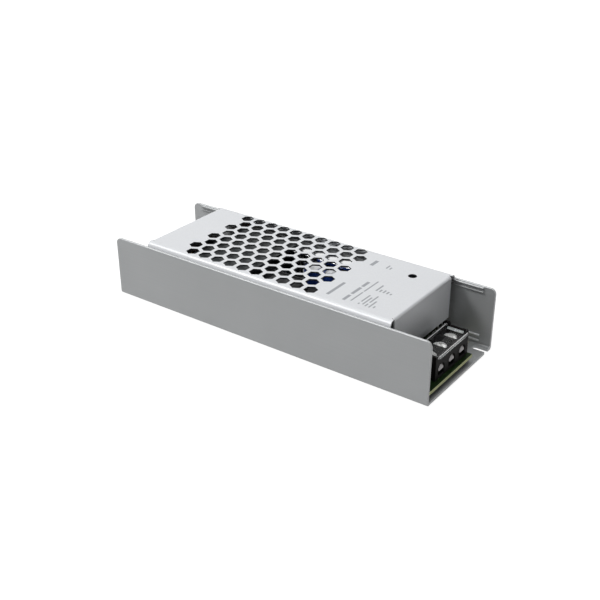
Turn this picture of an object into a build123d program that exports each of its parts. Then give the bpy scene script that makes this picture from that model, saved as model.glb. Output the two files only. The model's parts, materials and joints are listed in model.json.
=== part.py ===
from build123d import *
import os

# A slim mains power supply. X runs along it, from the mains end to the low voltage end, and Z is up.
# The origin is the middle of the underside. All sizes are millimetres.
os.makedirs("parts", exist_ok=True)

# The aluminium channel, one extrusion.
length = 180.0
width = 60.0
wall_height = 31.1
wall = 1.3
floor = 1.3
outer_fold = 1.2
inner_fold = 0.8
wall_corner = 3.0
edge_round = 0.35
ridge_reach = 0.9
ridge_thickness = 0.9
ridge_setback = 5.7
slot_width = 3.2
slot_depth = 7.0
slot_inset = 5.05

# The folded sheet cover and its holes. Its ends stop short of the terminals.
sheet = 0.8
cover_rise = 2.3
cover_gap = 4.7
cover_bend = 2.4
cover_play = 0.05
seat_drop = 0.5
groove_play = 0.15
flap_inset = 5.0
flap_bottom = 12.2
flap_bend = 1.2
flap_relief = 0.5
tongue_length = 8.0
tongue_spacing = 50.0
tongue_clearance = 0.1
tongue_root = 1.2
tongue_step = 0.25
tongue_bend = 0.44
vent_flats = 5.8
vent_pitch = 7.74
vent_rows = 8
vents_per_row = 10
vent_centre = -11.5
trimmer_hole = 4.1

# The circuit board and the film under it.
board_seat = 3.8
board_thickness = 1.6
board_play = 0.2
board_side_gap = 0.15
board_end_gap = 0.9
notch_length = 13.0
notch_edge = 12.2
notch_corner = 1.0
film = 0.3
film_end_gap = 10.0

# The screw terminals.
poles = 3
pole_pitch = 9.5
block_y = -3.4
block_setback = 3.2
block_depth = 12.5
block_height = 11.0
partition = 1.2
well_depth = 3.8
roof = 0.6
chamber_length = 9.0
chamber_width = 7.2
chamber_setback = 1.8
wire_width = 5.2
wire_height = 5.4
wire_sill = 1.1
mouth_chamfer = 0.4
screw_head = 6.6
screw_head_height = 2.2
screw_shank = 3.0
screw_reach = 3.4
screw_hole_play = 0.15
slot_cut = 1.0
cross_cut = 4.2
thread_play = 0.05
cage_length = 8.4
cage_width = 6.6
cage_height = 4.4
cage_wall = 0.7
cage_roof = 1.0
cage_corner = 0.5
cage_drop = 0.1
bar_rise = 1.05
bar_thickness = 0.6
bar_width = 4.6
bar_length = 8.8
bar_play = 0.05
pin_width = 1.2
pin_thickness = 0.8
pin_below_board = 1.2
pin_hole = 1.5

# The clear hinged flaps over the screws.
clear_sheet = 0.8
clear_side_gap = 0.15
clear_lift = 0.05
clear_lip = 1.2
lip_gap = 0.1
hinge_setback = 1.7
hinge_barrel = 0.8
hinge_pin = 0.75
hinge_play = 0.05
ear_boss = 1.7

# The heat sinks and what is screwed to them.
sink_sheet = 1.5
sink_bend = 1.0
sink_gap = 3.2
sink_far_setback = 7.2
primary_near_setback = 4.7
primary_start = -48.9
primary_end = -13.5
secondary_near = 11.6
secondary_start = -10.0
secondary_end = 24.0
pad = 0.3
pad_margin = 1.0
package_width = 10.0
package_body = 9.0
package_thickness = 4.5
package_legs = 4.6
tab_thickness = 1.3
tab_height = 6.5
leg_pitch = 2.54
leg_width = 0.8
leg_thickness = 0.5
bridge_width = 21.8
bridge_height = 18.3
bridge_thickness = 3.4
bridge_corner = 2.4
bridge_x = -36.5
transistor_x = -18.5
diode_x = 0.0
diode_spacing = 14.0
fixing_hole = 3.6
fixing_shank = 3.0
fixing_head = 5.5
fixing_head_height = 2.0

# The bulk capacitors lie side by side under the primary heat sink, the output ones stand in a row.
bulk_diameter = 16.0
bulk_length = 31.5
bulk_x = -31.0
bulk_spacing = 16.6
output_diameter = 10.0
output_height = 22.5
output_x = 6.0
output_y = 6.0
output_spacing = 11.0
output_count = 4
sleeve = 0.25
can_lip = 1.2

# The transformer.
transformer_x = 1.5
transformer_setback = 4.0
core_x = 28.0
core_y = 22.6
core_z = 10.0
core_leg = 4.0
core_centre = 8.4
core_gap = 0.1
core_clearance = 0.1
core_stand = 7.0
bobbin_wall = 0.9
bobbin_edge = 0.8
winding_x = 18.4
winding_z = 18.8
winding_corner = 3.5

# The mains choke stands on edge at the mains end. The output inductor lies flat.
choke_setback = 8.6
choke_y = 9.5
choke_radius = 9.0
choke_bore = 5.0
choke_depth = 7.0
choke_wire = 1.2
choke_sweep = 110.0
inductor_x = 38.0
inductor_y = -14.0
inductor_radius = 8.0
inductor_bore = 4.4
inductor_depth = 6.5
inductor_wire = 1.1
inductor_sweep = 320.0

# Boxed, dipped and disc parts. A setback is measured from the cover's end or from the wall.
x_setback = 8.6
x_y = -9.0
x_width = 8.0
x_length = 15.0
x_height = 14.0
x_corner = 0.6
film_gap = 2.0
film_y = -8.5
film_width = 12.0
film_depth = 6.0
film_height = 17.0
film_corner = 2.4
film_edge = 1.2
disc_diameter = 8.0
disc_thickness = 3.0
disc_edge = 0.8
y_capacitor_x = -7.5
y_capacitor_spacing = 5.0
thermistor_setback = 2.6
fuse_setback = 6.4
fuse_wall_setback = 5.7
fuse_diameter = 3.6
fuse_cap = 4.0
fuse_cap_length = 2.6
fuse_length = 10.0

# The trimmer under the round hole, and the small parts.
trimmer_setback = 14.7
trimmer_wall_setback = 13.7
trimmer_size = 6.6
trimmer_height = 5.0
rotor_diameter = 3.6
rotor_slot = 2.5
rotor_sink = 1.2
rotor_proud = 0.3
coupler_x = 19.5
coupler_wall_setback = 9.7
coupler_width = 4.6
coupler_length = 6.5
coupler_height = 3.5
chip_setback = 8.6
chip_y = -9.0
chip_width = 6.4
chip_length = 9.3
chip_height = 3.3
resistor_setback = 9.6
resistor_wall_setback = 4.7
resistor_spacing = 5.0
resistor_diameter = 2.6
resistor_length = 7.5
resistor_edge = 0.5

# Heights and edges that the sizes above settle.
half_length = length / 2
half_width = width / 2
inner_half = half_width - wall
cover_top = wall_height + cover_rise
cover_seat = wall_height - seat_drop
cover_groove = sheet + groove_play
board_groove = board_thickness + board_play
board_top = board_seat + board_thickness
board_half = inner_half - board_side_gap
block_front = half_length - block_setback
block_rear = block_front - block_depth
cover_end = block_rear - cover_gap
block_top = board_top + block_height
block_middle = (block_front + block_rear) / 2
well_floor = block_top - well_depth
chamber_top = well_floor - roof
chamber_front = block_front - chamber_setback
chamber_middle = chamber_front - chamber_length / 2
block_length = poles * pole_pitch + partition
pole_places = [block_y + (i - (poles - 1) / 2) * pole_pitch for i in range(poles)]
trimmer_x = cover_end - trimmer_setback
trimmer_y = inner_half - trimmer_wall_setback
sink_top = cover_top - sheet - sink_gap
sink_far = inner_half - sink_far_setback
primary_near = primary_near_setback - inner_half


def keep(name, part):
    """Label one finished piece and write it under the same name."""
    part.label = name
    export_step(part, f"parts/{name}.step")


# The channel's section is a trough with four ridges on each wall. The two low ones hold the board.
ridge_tops = [
    board_seat,
    board_seat + board_groove + ridge_thickness,
    cover_seat - ridge_thickness - cover_groove,
    cover_seat,
]
with BuildPart() as channel_base:
    with BuildSketch(Plane.YZ.offset(-half_length)) as section:
        with Locations((0, wall_height / 2)):
            Rectangle(width, wall_height)
        with Locations((0, (wall_height + floor) / 2)):
            Rectangle(2 * inner_half, wall_height - floor, mode=Mode.SUBTRACT)
        fillet(section.vertices().group_by(Axis.Y)[1], inner_fold)
        fillet(section.vertices().group_by(Axis.Y)[0], outer_fold)
        fillet(section.vertices().group_by(Axis.Y)[-1], edge_round)
        for side in (-1, 1):
            with Locations(*[(side * inner_half, top - ridge_thickness / 2) for top in ridge_tops]):
                SlotOverall(2 * ridge_reach, ridge_thickness)
    extrude(amount=length)
    # The ridges are milled away near both ends.
    for end in (-1, 1):
        with Locations((end * (half_length - ridge_setback / 2), 0, floor + inner_fold)):
            Box(
                ridge_setback,
                2 * inner_half,
                wall_height,
                align=(Align.CENTER, Align.CENTER, Align.MIN),
                mode=Mode.SUBTRACT,
            )
    # Seen from the side, the free corners of both walls are rounded.
    with BuildSketch(Plane.XZ):
        for end in (-1, 1):
            with Locations((end * half_length, wall_height)):
                Rectangle(2 * wall_corner, 2 * wall_corner)
            with Locations((end * (half_length - wall_corner), wall_height - wall_corner)):
                Circle(wall_corner, mode=Mode.SUBTRACT)
    extrude(amount=width, both=True, mode=Mode.SUBTRACT)
    # Open-ended fixing slots at two opposite corners of the floor.
    with BuildSketch():
        for end in (-1, 1):
            with Locations((end * half_length, end * (half_width - slot_inset))):
                SlotOverall(2 * slot_depth, slot_width)
    extrude(amount=floor, mode=Mode.SUBTRACT)
keep("channel_base", channel_base.part)

# The cover's sides stand inside the walls on the topmost ridges. Tongues hook into the groove below.
flange_middle = inner_half - cover_play - sheet / 2
top_middle = cover_top - sheet / 2
tongue_middle = inner_half - ridge_reach - tongue_clearance - sheet / 2
groove_middle = cover_seat - ridge_thickness - cover_groove / 2
flap_half = half_width - flap_inset
vent_row_spacing = vent_pitch * 3**0.5 / 2
with BuildPart() as vented_cover:
    with BuildSketch(Plane.YZ.offset(-cover_end)):
        with BuildLine():
            FilletPolyline(
                (-flange_middle, cover_seat),
                (-flange_middle, top_middle),
                (flange_middle, top_middle),
                (flange_middle, cover_seat),
                radius=cover_bend - sheet / 2,
            )
        trace(line_width=sheet)
    extrude(amount=2 * cover_end)
    # The top is cut back between two reliefs where each end flap is folded down.
    for end in (-1, 1):
        with Locations((end * (cover_end - flap_bend / 2), 0, top_middle)):
            Box(flap_bend, 2 * (flap_half + flap_relief), 2 * sheet, mode=Mode.SUBTRACT)
        with BuildSketch(Plane.XZ):
            with BuildLine():
                FilletPolyline(
                    (end * (cover_end - 2 * flap_bend), top_middle),
                    (end * (cover_end - sheet / 2), top_middle),
                    (end * (cover_end - sheet / 2), flap_bottom),
                    radius=flap_bend - sheet / 2,
                )
            trace(line_width=sheet)
        extrude(amount=flap_half, both=True)
    # Hooked tongues, three on each side.
    for x in (-tongue_spacing, 0, tongue_spacing):
        for side in (-1, 1):
            with BuildSketch(Plane.YZ.offset(x - tongue_length / 2)):
                with BuildLine():
                    FilletPolyline(
                        (side * flange_middle, cover_seat + tongue_root),
                        (side * tongue_middle, cover_seat + tongue_step),
                        (side * tongue_middle, groove_middle),
                        (side * (inner_half - tongue_clearance), groove_middle),
                        radius=tongue_bend,
                    )
                trace(line_width=sheet)
            extrude(amount=tongue_length)
    # Two interleaved grids of hexagons make the staggered rows. The round hole is for the trimmer.
    with BuildSketch(Plane.XY.offset(cover_top)):
        for shift in (-1, 1):
            with Locations((vent_centre + shift * vent_pitch / 4, -shift * vent_row_spacing / 2)):
                with GridLocations(vent_pitch, 2 * vent_row_spacing, vents_per_row, vent_rows // 2):
                    RegularPolygon(vent_flats / 2, 6, major_radius=False, rotation=30)
        with Locations((trimmer_x, trimmer_y)):
            Circle(trimmer_hole / 2)
    extrude(amount=-sheet, mode=Mode.SUBTRACT)
keep("vented_cover", vented_cover.part)

# The board slides in the low grooves and is cut back over each fixing slot.
pin_x = chamber_middle - chamber_length / 2 - pin_thickness / 2 - bar_play
with BuildPart() as circuit_board:
    with BuildSketch(Plane.XY.offset(board_seat)) as outline:
        Rectangle(length - 2 * board_end_gap, 2 * board_half)
        for end in (-1, 1):
            with Locations((end * (half_length - board_end_gap), end * board_half)):
                Rectangle(2 * notch_length, 2 * (board_half - notch_edge), mode=Mode.SUBTRACT)
        fillet(outline.vertices().group_by(SortBy.DISTANCE)[0], notch_corner)
        for end in (-1, 1):
            with Locations(*[(end * pin_x, end * y) for y in pole_places]):
                Circle(pin_hole / 2, mode=Mode.SUBTRACT)
    extrude(amount=board_thickness)
keep("circuit_board", circuit_board.part)

with BuildPart() as insulating_sheet:
    with Locations((0, 0, floor)):
        Box(
            length - 2 * film_end_gap,
            2 * (inner_half - inner_fold - board_side_gap),
            film,
            align=(Align.CENTER, Align.CENTER, Align.MIN),
        )
keep("insulating_sheet", insulating_sheet.part)

# One terminal block stands at each end, the same moulding turned half round.
hinge_x = block_rear + hinge_setback
hinge_z = block_top + clear_lift + hinge_barrel
clear_half = block_length / 2 - partition - clear_side_gap
with BuildPart() as output_terminal_block:
    with Locations((block_middle, block_y, board_top)):
        Box(block_depth, block_length, block_height, align=(Align.CENTER, Align.CENTER, Align.MIN))
    # End ears rise past the clear flap and carry its hinge pins.
    for side in (-1, 1):
        with BuildSketch(Plane.XZ.offset(-(block_y + side * (block_length - partition) / 2))):
            with Locations((block_middle, (block_top + hinge_z) / 2)):
                Rectangle(block_depth, hinge_z - block_top)
            with Locations((hinge_x, hinge_z)):
                Circle(ear_boss)
                Circle(hinge_pin + hinge_play, mode=Mode.SUBTRACT)
        extrude(amount=partition / 2, both=True)
    with Locations(*[(chamber_middle, y, 0) for y in pole_places]):
        # The screw stands in an open well, its cage in a chamber below, reached by an arched mouth.
        with Locations((block_middle - chamber_middle, 0, well_floor)):
            Box(
                block_depth - 2 * partition,
                pole_pitch - partition,
                well_depth,
                align=(Align.CENTER, Align.CENTER, Align.MIN),
                mode=Mode.SUBTRACT,
            )
        with Locations((0, 0, board_top)):
            Box(
                chamber_length,
                chamber_width,
                chamber_top - board_top,
                align=(Align.CENTER, Align.CENTER, Align.MIN),
                mode=Mode.SUBTRACT,
            )
            Cylinder(
                screw_shank / 2 + screw_hole_play,
                well_floor - board_top,
                align=(Align.CENTER, Align.CENTER, Align.MIN),
                mode=Mode.SUBTRACT,
            )
    for y in pole_places:
        with BuildSketch(Plane.YZ.offset(chamber_front)):
            with Locations((y, board_top + wire_sill + (wire_height - wire_width / 2) / 2)):
                Rectangle(wire_width, wire_height - wire_width / 2)
            with Locations((y, board_top + wire_sill + wire_height - wire_width / 2)):
                Circle(wire_width / 2)
        extrude(amount=chamber_setback, mode=Mode.SUBTRACT)
    mouths = output_terminal_block.faces().sort_by(Axis.X)[-1].inner_wires()
    chamfer([edge for wire in mouths for edge in wire.edges()], mouth_chamfer)
    # A slot behind each chamber holds the upright of the current bar.
    bar_top = board_top + wire_sill + cage_wall + bar_rise + bar_thickness
    slot_rear = chamber_middle - chamber_length / 2 - pin_thickness - 2 * bar_play
    for y in pole_places:
        with Locations((slot_rear, y, board_top)):
            Box(
                pin_thickness + 2 * bar_play,
                bar_width + 2 * bar_play,
                bar_top - board_top,
                align=(Align.MIN, Align.CENTER, Align.MIN),
                mode=Mode.SUBTRACT,
            )
keep("output_terminal_block", output_terminal_block.part)

with BuildPart() as output_contact_bars:
    for y in pole_places:
        with Locations((slot_rear + bar_play, y, bar_top - bar_thickness)):
            Box(bar_length, bar_width, bar_thickness, align=(Align.MIN, Align.CENTER, Align.MIN))
        with Locations((slot_rear + bar_play, y, board_top)):
            Box(pin_thickness, bar_width, bar_top - board_top, align=(Align.MIN, Align.CENTER, Align.MIN))
        with Locations((slot_rear + bar_play, y, board_seat - pin_below_board)):
            Box(
                pin_thickness,
                pin_width,
                board_thickness + pin_below_board,
                align=(Align.MIN, Align.CENTER, Align.MIN),
            )
keep("output_contact_bars", output_contact_bars.part)

# The clear flap turns on two pins at its rear edge and has a lip down the front.
with BuildPart() as output_terminal_cover:
    with BuildSketch(Plane.XZ.offset(-block_y)):
        with BuildLine():
            Polyline(
                (hinge_x, block_top + clear_lift),
                (block_front + lip_gap, block_top + clear_lift),
                (block_front + lip_gap, block_top + clear_lift + clear_sheet - clear_lip),
                (block_front + lip_gap + clear_sheet, block_top + clear_lift + clear_sheet - clear_lip),
                (block_front + lip_gap + clear_sheet, block_top + clear_lift + clear_sheet),
                (hinge_x, block_top + clear_lift + clear_sheet),
                close=True,
            )
        make_face()
        with Locations((hinge_x, hinge_z)):
            Circle(hinge_barrel)
    extrude(amount=clear_half, both=True)
    with BuildSketch(Plane.XZ.offset(-block_y)):
        with Locations((hinge_x, hinge_z)):
            Circle(hinge_pin)
    extrude(amount=block_length / 2, both=True)
keep("output_terminal_cover", output_terminal_cover.part)

# The mains end has the same three pieces, turned half round about Z.
for piece in (output_terminal_block, output_contact_bars, output_terminal_cover):
    with BuildPart() as turned:
        add(piece.part, rotation=(0, 0, 180))
    keep(piece.part.label.replace("output", "input"), turned.part)

# Each pole has a screw that turns in place and a cage that it lifts against the current bar.
cage_bottom = chamber_top - cage_drop - cage_height
driver_angles = (15, -40, 65, -10, 50, -70)
for number, driver_angle in enumerate(driver_angles):
    end = 1 if number < poles else -1
    end_name = "output" if end == 1 else "input"
    pole = number % poles
    x = end * chamber_middle
    y = end * pole_places[pole]
    with BuildPart() as screw:
        with BuildSketch(Plane.XY.offset(well_floor)):
            with Locations((x, y)):
                Circle(screw_head / 2)
        extrude(amount=screw_head_height)
        chamfer(screw.edges().group_by(Axis.Z)[-1], slot_cut / 4)
        with Locations((x, y, well_floor)):
            Cylinder(screw_shank / 2, screw_reach, align=(Align.CENTER, Align.CENTER, Align.MAX))
        with BuildSketch(Plane.XY.offset(well_floor + screw_head_height)):
            with Locations(Location((x, y), driver_angle)):
                Rectangle(screw_head, slot_cut)
                Rectangle(slot_cut, cross_cut)
        extrude(amount=-slot_cut, mode=Mode.SUBTRACT)
    keep(f"{end_name}_screw_{pole + 1}", screw.part)
    with BuildPart() as cage:
        with Locations((x, y, cage_bottom)):
            Box(cage_length, cage_width, cage_height, align=(Align.CENTER, Align.CENTER, Align.MIN))
        fillet(cage.edges().filter_by(Axis.X), cage_corner)
        with Locations((x, y, cage_bottom + cage_wall)):
            Box(
                cage_length,
                cage_width - 2 * cage_wall,
                cage_height - cage_wall - cage_roof,
                align=(Align.CENTER, Align.CENTER, Align.MIN),
                mode=Mode.SUBTRACT,
            )
        with Locations((x, y, cage_bottom + cage_height)):
            Cylinder(
                screw_shank / 2 + thread_play,
                cage_roof,
                align=(Align.CENTER, Align.CENTER, Align.MAX),
                mode=Mode.SUBTRACT,
            )
    keep(f"{end_name}_cage_{pole + 1}", cage.part)

# The primary heat sink bridges the bulk capacitors. The secondary one is an angle along the far side.
fixing_z = board_top + package_legs + package_body + tab_height / 2
bridge_z = board_top + package_legs + bridge_height / 2
sink_far_middle = sink_far - sink_sheet / 2
sink_top_middle = sink_top - sink_sheet / 2
diode_places = (diode_x, diode_x + diode_spacing)
with BuildPart() as primary_heat_sink:
    with BuildSketch(Plane.YZ.offset(primary_start)):
        with BuildLine():
            FilletPolyline(
                (primary_near + sink_sheet / 2, board_top),
                (primary_near + sink_sheet / 2, sink_top_middle),
                (sink_far_middle, sink_top_middle),
                (sink_far_middle, board_top),
                radius=sink_bend + sink_sheet / 2,
            )
        trace(line_width=sink_sheet)
    extrude(amount=primary_end - primary_start)
    with BuildSketch(Plane.XZ.offset(-sink_far_middle)):
        with Locations((bridge_x, bridge_z), (transistor_x, fixing_z)):
            Circle(fixing_shank / 2 + thread_play)
    extrude(amount=sink_sheet, both=True, mode=Mode.SUBTRACT)
keep("primary_heat_sink", primary_heat_sink.part)

with BuildPart() as secondary_heat_sink:
    with BuildSketch(Plane.YZ.offset(secondary_start)):
        with BuildLine():
            FilletPolyline(
                (secondary_near, sink_top_middle),
                (sink_far_middle, sink_top_middle),
                (sink_far_middle, board_top),
                radius=sink_bend + sink_sheet / 2,
            )
        trace(line_width=sink_sheet)
    extrude(amount=secondary_end - secondary_start)
    with BuildSketch(Plane.XZ.offset(-sink_far_middle)):
        with Locations(*[(x, fixing_z) for x in diode_places]):
            Circle(fixing_shank / 2 + thread_play)
    extrude(amount=sink_sheet, both=True, mode=Mode.SUBTRACT)
keep("secondary_heat_sink", secondary_heat_sink.part)

# The power packages stand on their legs behind the heat sinks' far legs, with a pad between.
package_back = sink_far + pad


def power_package(x):
    """One flat power package with a drilled tab, on three legs."""
    with BuildPart() as package:
        with Locations((x, package_back, board_top + package_legs)):
            Box(
                package_width,
                package_thickness,
                package_body,
                align=(Align.CENTER, Align.MIN, Align.MIN),
            )
            Box(
                package_width,
                tab_thickness,
                package_body + tab_height,
                align=(Align.CENTER, Align.MIN, Align.MIN),
            )
        with Locations((x, package_back + package_thickness / 2, board_top + package_legs / 2)):
            with GridLocations(leg_pitch, 0, 3, 1):
                Box(leg_width, leg_thickness, package_legs)
        with BuildSketch(Plane.XZ.offset(-package_back)):
            with Locations((x, fixing_z)):
                Circle(fixing_hole / 2)
        extrude(amount=-tab_thickness, mode=Mode.SUBTRACT)
    return package.part


keep("switching_transistor", power_package(transistor_x))
with BuildPart() as output_diodes:
    for x in diode_places:
        add(power_package(x))
keep("output_diodes", output_diodes.part)

with BuildPart() as bridge_rectifier:
    with BuildSketch(Plane.XZ.offset(-package_back)) as face:
        with Locations((bridge_x, bridge_z)):
            Rectangle(bridge_width, bridge_height)
        chamfer(face.vertices().group_by(Axis.Y)[-1].sort_by(Axis.X)[-1], bridge_corner)
        with Locations((bridge_x, bridge_z)):
            Circle(fixing_hole / 2, mode=Mode.SUBTRACT)
    extrude(amount=-bridge_thickness)
    with Locations((bridge_x, package_back + bridge_thickness / 2, board_top + package_legs / 2)):
        with GridLocations(2 * leg_pitch, 0, 4, 1):
            Box(leg_width, leg_width, package_legs)
keep("bridge_rectifier", bridge_rectifier.part)

tab_places = [(x, fixing_z) for x in (transistor_x, *diode_places)]
package_full = package_body + tab_height
with BuildPart() as insulating_pads:
    with BuildSketch(Plane.XZ.offset(-sink_far)):
        with Locations((bridge_x, bridge_z)):
            Rectangle(bridge_width, bridge_height)
        with Locations(*[(x, z + (tab_height - package_full) / 2) for x, z in tab_places]):
            Rectangle(package_width + pad_margin, package_full + pad_margin)
        with Locations((bridge_x, bridge_z), *tab_places):
            Circle(fixing_hole / 2, mode=Mode.SUBTRACT)
    extrude(amount=-pad)
keep("insulating_pads", insulating_pads.part)

# Screws M3, each through its package and pad into the sheet.
fixings = [(bridge_x, bridge_z, bridge_thickness), *[(x, z, tab_thickness) for x, z in tab_places]]
with BuildPart() as transistor_screws:
    for x, z, thickness in fixings:
        with BuildSketch(Plane.XZ.offset(-(package_back + thickness))):
            with Locations((x, z)):
                Circle(fixing_head / 2)
        extrude(amount=-fixing_head_height)
        with BuildSketch(Plane.XZ.offset(-(package_back + thickness))):
            with Locations((x, z)):
                Circle(fixing_shank / 2)
        extrude(amount=pad + thickness + sink_sheet)
keep("transistor_screws", transistor_screws.part)

# Each bulk capacitor is an aluminium can in a sleeve that leaves its two ends bare.
bulk_middle = (primary_near + sink_far) / 2
bulk_places = [
    Location((bulk_x, bulk_middle + side * bulk_spacing / 2, board_top + bulk_diameter / 2), (0, 90, 0))
    for side in (-1, 1)
]
with BuildPart() as bulk_capacitor_cans:
    with Locations(*bulk_places):
        Cylinder(bulk_diameter / 2 - sleeve, bulk_length)
keep("bulk_capacitor_cans", bulk_capacitor_cans.part)

with BuildPart() as bulk_capacitor_sleeves:
    with Locations(*bulk_places):
        Cylinder(bulk_diameter / 2, bulk_length - 2 * sleeve)
        Cylinder(bulk_diameter / 2 - sleeve, bulk_length, mode=Mode.SUBTRACT)
keep("bulk_capacitor_sleeves", bulk_capacitor_sleeves.part)

# The output capacitors' sleeves fold over the rims of their tops.
standing = (Align.CENTER, Align.CENTER, Align.MIN)
output_places = [(output_x + i * output_spacing, output_y, board_top) for i in range(output_count)]
with BuildPart() as output_capacitor_cans:
    with Locations(*output_places):
        Cylinder(output_diameter / 2 - sleeve, output_height - sleeve, align=standing)
keep("output_capacitor_cans", output_capacitor_cans.part)

with BuildPart() as output_capacitor_sleeves:
    with Locations(*output_places):
        Cylinder(output_diameter / 2, output_height, align=standing)
        Cylinder(output_diameter / 2 - sleeve, output_height - sleeve, align=standing, mode=Mode.SUBTRACT)
        Cylinder(output_diameter / 2 - can_lip, output_height, align=standing, mode=Mode.SUBTRACT)
keep("output_capacitor_sleeves", output_capacitor_sleeves.part)

# The transformer: two ferrite E halves around a wound bobbin that stands on two pin rails.
transformer_y = transformer_setback + core_y / 2 - inner_half
core_z_middle = board_top + core_stand + core_z / 2
core_window = core_y / 2 - core_leg
with BuildPart() as transformer_core:
    with BuildSketch(Plane.XY.offset(core_z_middle)):
        with Locations((transformer_x, transformer_y)):
            Rectangle(core_x, core_y)
            Rectangle(core_x - 2 * core_leg, 2 * core_window, mode=Mode.SUBTRACT)
            Rectangle(core_centre, 2 * core_window)
            Rectangle(core_x, core_gap, mode=Mode.SUBTRACT)
    extrude(amount=core_z / 2, both=True)
keep("transformer_core", transformer_core.part)

flange_place = core_window - core_clearance - bobbin_wall / 2
rail_inner = flange_place - bobbin_wall / 2
rail_depth = core_y / 2 - rail_inner
with BuildPart() as transformer_bobbin:
    with Locations((transformer_x, transformer_y, core_z_middle)):
        Box(core_centre + 2 * bobbin_wall, 2 * flange_place, core_z + 2 * bobbin_wall)
    for side in (-1, 1):
        with Locations((transformer_x, transformer_y + side * flange_place, core_z_middle)):
            Box(winding_x + bobbin_edge, bobbin_wall, winding_z + bobbin_edge)
        with Locations((transformer_x, transformer_y + side * (rail_inner + rail_depth / 2), board_top)):
            Box(winding_x + 2 * bobbin_edge, rail_depth, core_stand, align=standing)
    with Locations((transformer_x, transformer_y, core_z_middle)):
        Box(core_centre + 2 * core_clearance, core_y, core_z + 2 * core_clearance, mode=Mode.SUBTRACT)
keep("transformer_bobbin", transformer_bobbin.part)

with BuildPart() as transformer_winding:
    with BuildSketch(Plane.XZ.offset(-transformer_y)):
        with Locations((transformer_x, core_z_middle)):
            RectangleRounded(winding_x, winding_z, winding_corner)
            Rectangle(core_centre + 2 * bobbin_wall, core_z + 2 * bobbin_wall, mode=Mode.SUBTRACT)
    extrude(amount=rail_inner, both=True)
keep("transformer_winding", transformer_winding.part)


def wound_ring(plane, outer, bore, depth, wire, starts, sweep):
    """A ferrite ring on the plane's axis, and a coil that sweeps round it from each start angle."""
    middle = (outer + bore) / 2
    with BuildPart() as core:
        with BuildSketch(plane):
            Circle(outer)
            Circle(bore, mode=Mode.SUBTRACT)
        extrude(amount=depth / 2, both=True)
    with BuildPart() as coils:
        for start in starts:
            outward = plane.x_dir.rotate(Axis((0, 0, 0), plane.z_dir), start)
            with BuildSketch(Plane(plane.origin, x_dir=outward, z_dir=outward.cross(plane.z_dir))) as turn:
                with Locations((middle, 0)):
                    Rectangle(outer - bore + 2 * wire, depth + 2 * wire)
                    chamfer(turn.vertices(), wire)
                    Rectangle(outer - bore, depth, mode=Mode.SUBTRACT)
            revolve(axis=Axis(plane.origin, plane.z_dir), revolution_arc=sweep)
    return core.part, coils.part


# The choke's two coils are separate, one on each side of the ring. The inductor has one long coil.
choke_plane = Plane(
    (choke_setback - cover_end, choke_y, board_top + choke_radius), x_dir=(0, 1, 0), z_dir=(1, 0, 0)
)
choke_starts = (-choke_sweep / 2, 180 - choke_sweep / 2)
choke_core, choke_windings = wound_ring(
    choke_plane, choke_radius, choke_bore, choke_depth, choke_wire, choke_starts, choke_sweep
)
keep("choke_core", choke_core)
keep("choke_windings", choke_windings)

inductor_plane = Plane((inductor_x, inductor_y, board_top + inductor_depth / 2 + inductor_wire))
inductor_start = (360 - inductor_sweep) / 2
output_inductor_core, output_inductor_winding = wound_ring(
    inductor_plane,
    inductor_radius,
    inductor_bore,
    inductor_depth,
    inductor_wire,
    (inductor_start,),
    inductor_sweep,
)
keep("output_inductor_core", output_inductor_core)
keep("output_inductor_winding", output_inductor_winding)

# Boxed and dipped capacitors.
with BuildPart() as x_capacitor:
    with BuildSketch(Plane.XY.offset(board_top)):
        with Locations((x_setback - cover_end, x_y)):
            RectangleRounded(x_width, x_length, x_corner)
    extrude(amount=x_height)
keep("x_capacitor", x_capacitor.part)

film_x = transformer_x + core_x / 2 + film_gap + film_width / 2
with BuildPart() as film_capacitor:
    with BuildSketch(Plane.XY.offset(board_top)):
        with Locations((film_x, film_y)):
            RectangleRounded(film_width, film_depth, film_corner)
    extrude(amount=film_height)
    chamfer(film_capacitor.edges().group_by(Axis.Z)[-1], film_edge)
keep("film_capacitor", film_capacitor.part)


def disc(x, y):
    """A dipped disc that stands across X on the board."""
    with BuildPart() as body:
        with Locations(Location((x, y, board_top + disc_diameter / 2), (0, 90, 0))):
            Cylinder(disc_diameter / 2, disc_thickness)
        chamfer(body.edges().filter_by(GeomType.CIRCLE), disc_edge)
    return body.part


with BuildPart() as y_capacitors:
    for i in range(2):
        add(disc(y_capacitor_x + i * y_capacitor_spacing, output_y))
keep("y_capacitors", y_capacitors.part)
keep("thermistor", disc(thermistor_setback - cover_end, x_y))

# The fuse is a ceramic tube with pressed end caps, lying on the board.
fuse_x = fuse_setback - cover_end
fuse_y = fuse_wall_setback - inner_half
fuse_z = board_top + fuse_cap / 2
with BuildPart() as fuse_tube:
    with Locations(Location((fuse_x, fuse_y, fuse_z), (0, 90, 0))):
        Cylinder(fuse_diameter / 2, fuse_length - 2 * sleeve)
keep("fuse_tube", fuse_tube.part)

with BuildPart() as fuse_caps:
    for end in (-1, 1):
        cap_x = fuse_x + end * (fuse_length - fuse_cap_length) / 2
        with Locations(Location((cap_x, fuse_y, fuse_z), (0, 90, 0))):
            Cylinder(fuse_cap / 2, fuse_cap_length)
    with Locations(Location((fuse_x, fuse_y, fuse_z), (0, 90, 0))):
        Cylinder(fuse_diameter / 2, fuse_length - 2 * sleeve, mode=Mode.SUBTRACT)
keep("fuse_caps", fuse_caps.part)

# The trimmer: a square body with a slotted rotor sunk in its top.
sunk = (Align.CENTER, Align.CENTER, Align.MAX)
with BuildPart() as trimmer_body:
    with Locations((trimmer_x, trimmer_y, board_top)):
        Box(trimmer_size, trimmer_size, trimmer_height, align=standing)
    with Locations((trimmer_x, trimmer_y, board_top + trimmer_height)):
        Cylinder(rotor_diameter / 2 + thread_play, rotor_sink, align=sunk, mode=Mode.SUBTRACT)
keep("trimmer_body", trimmer_body.part)

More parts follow.
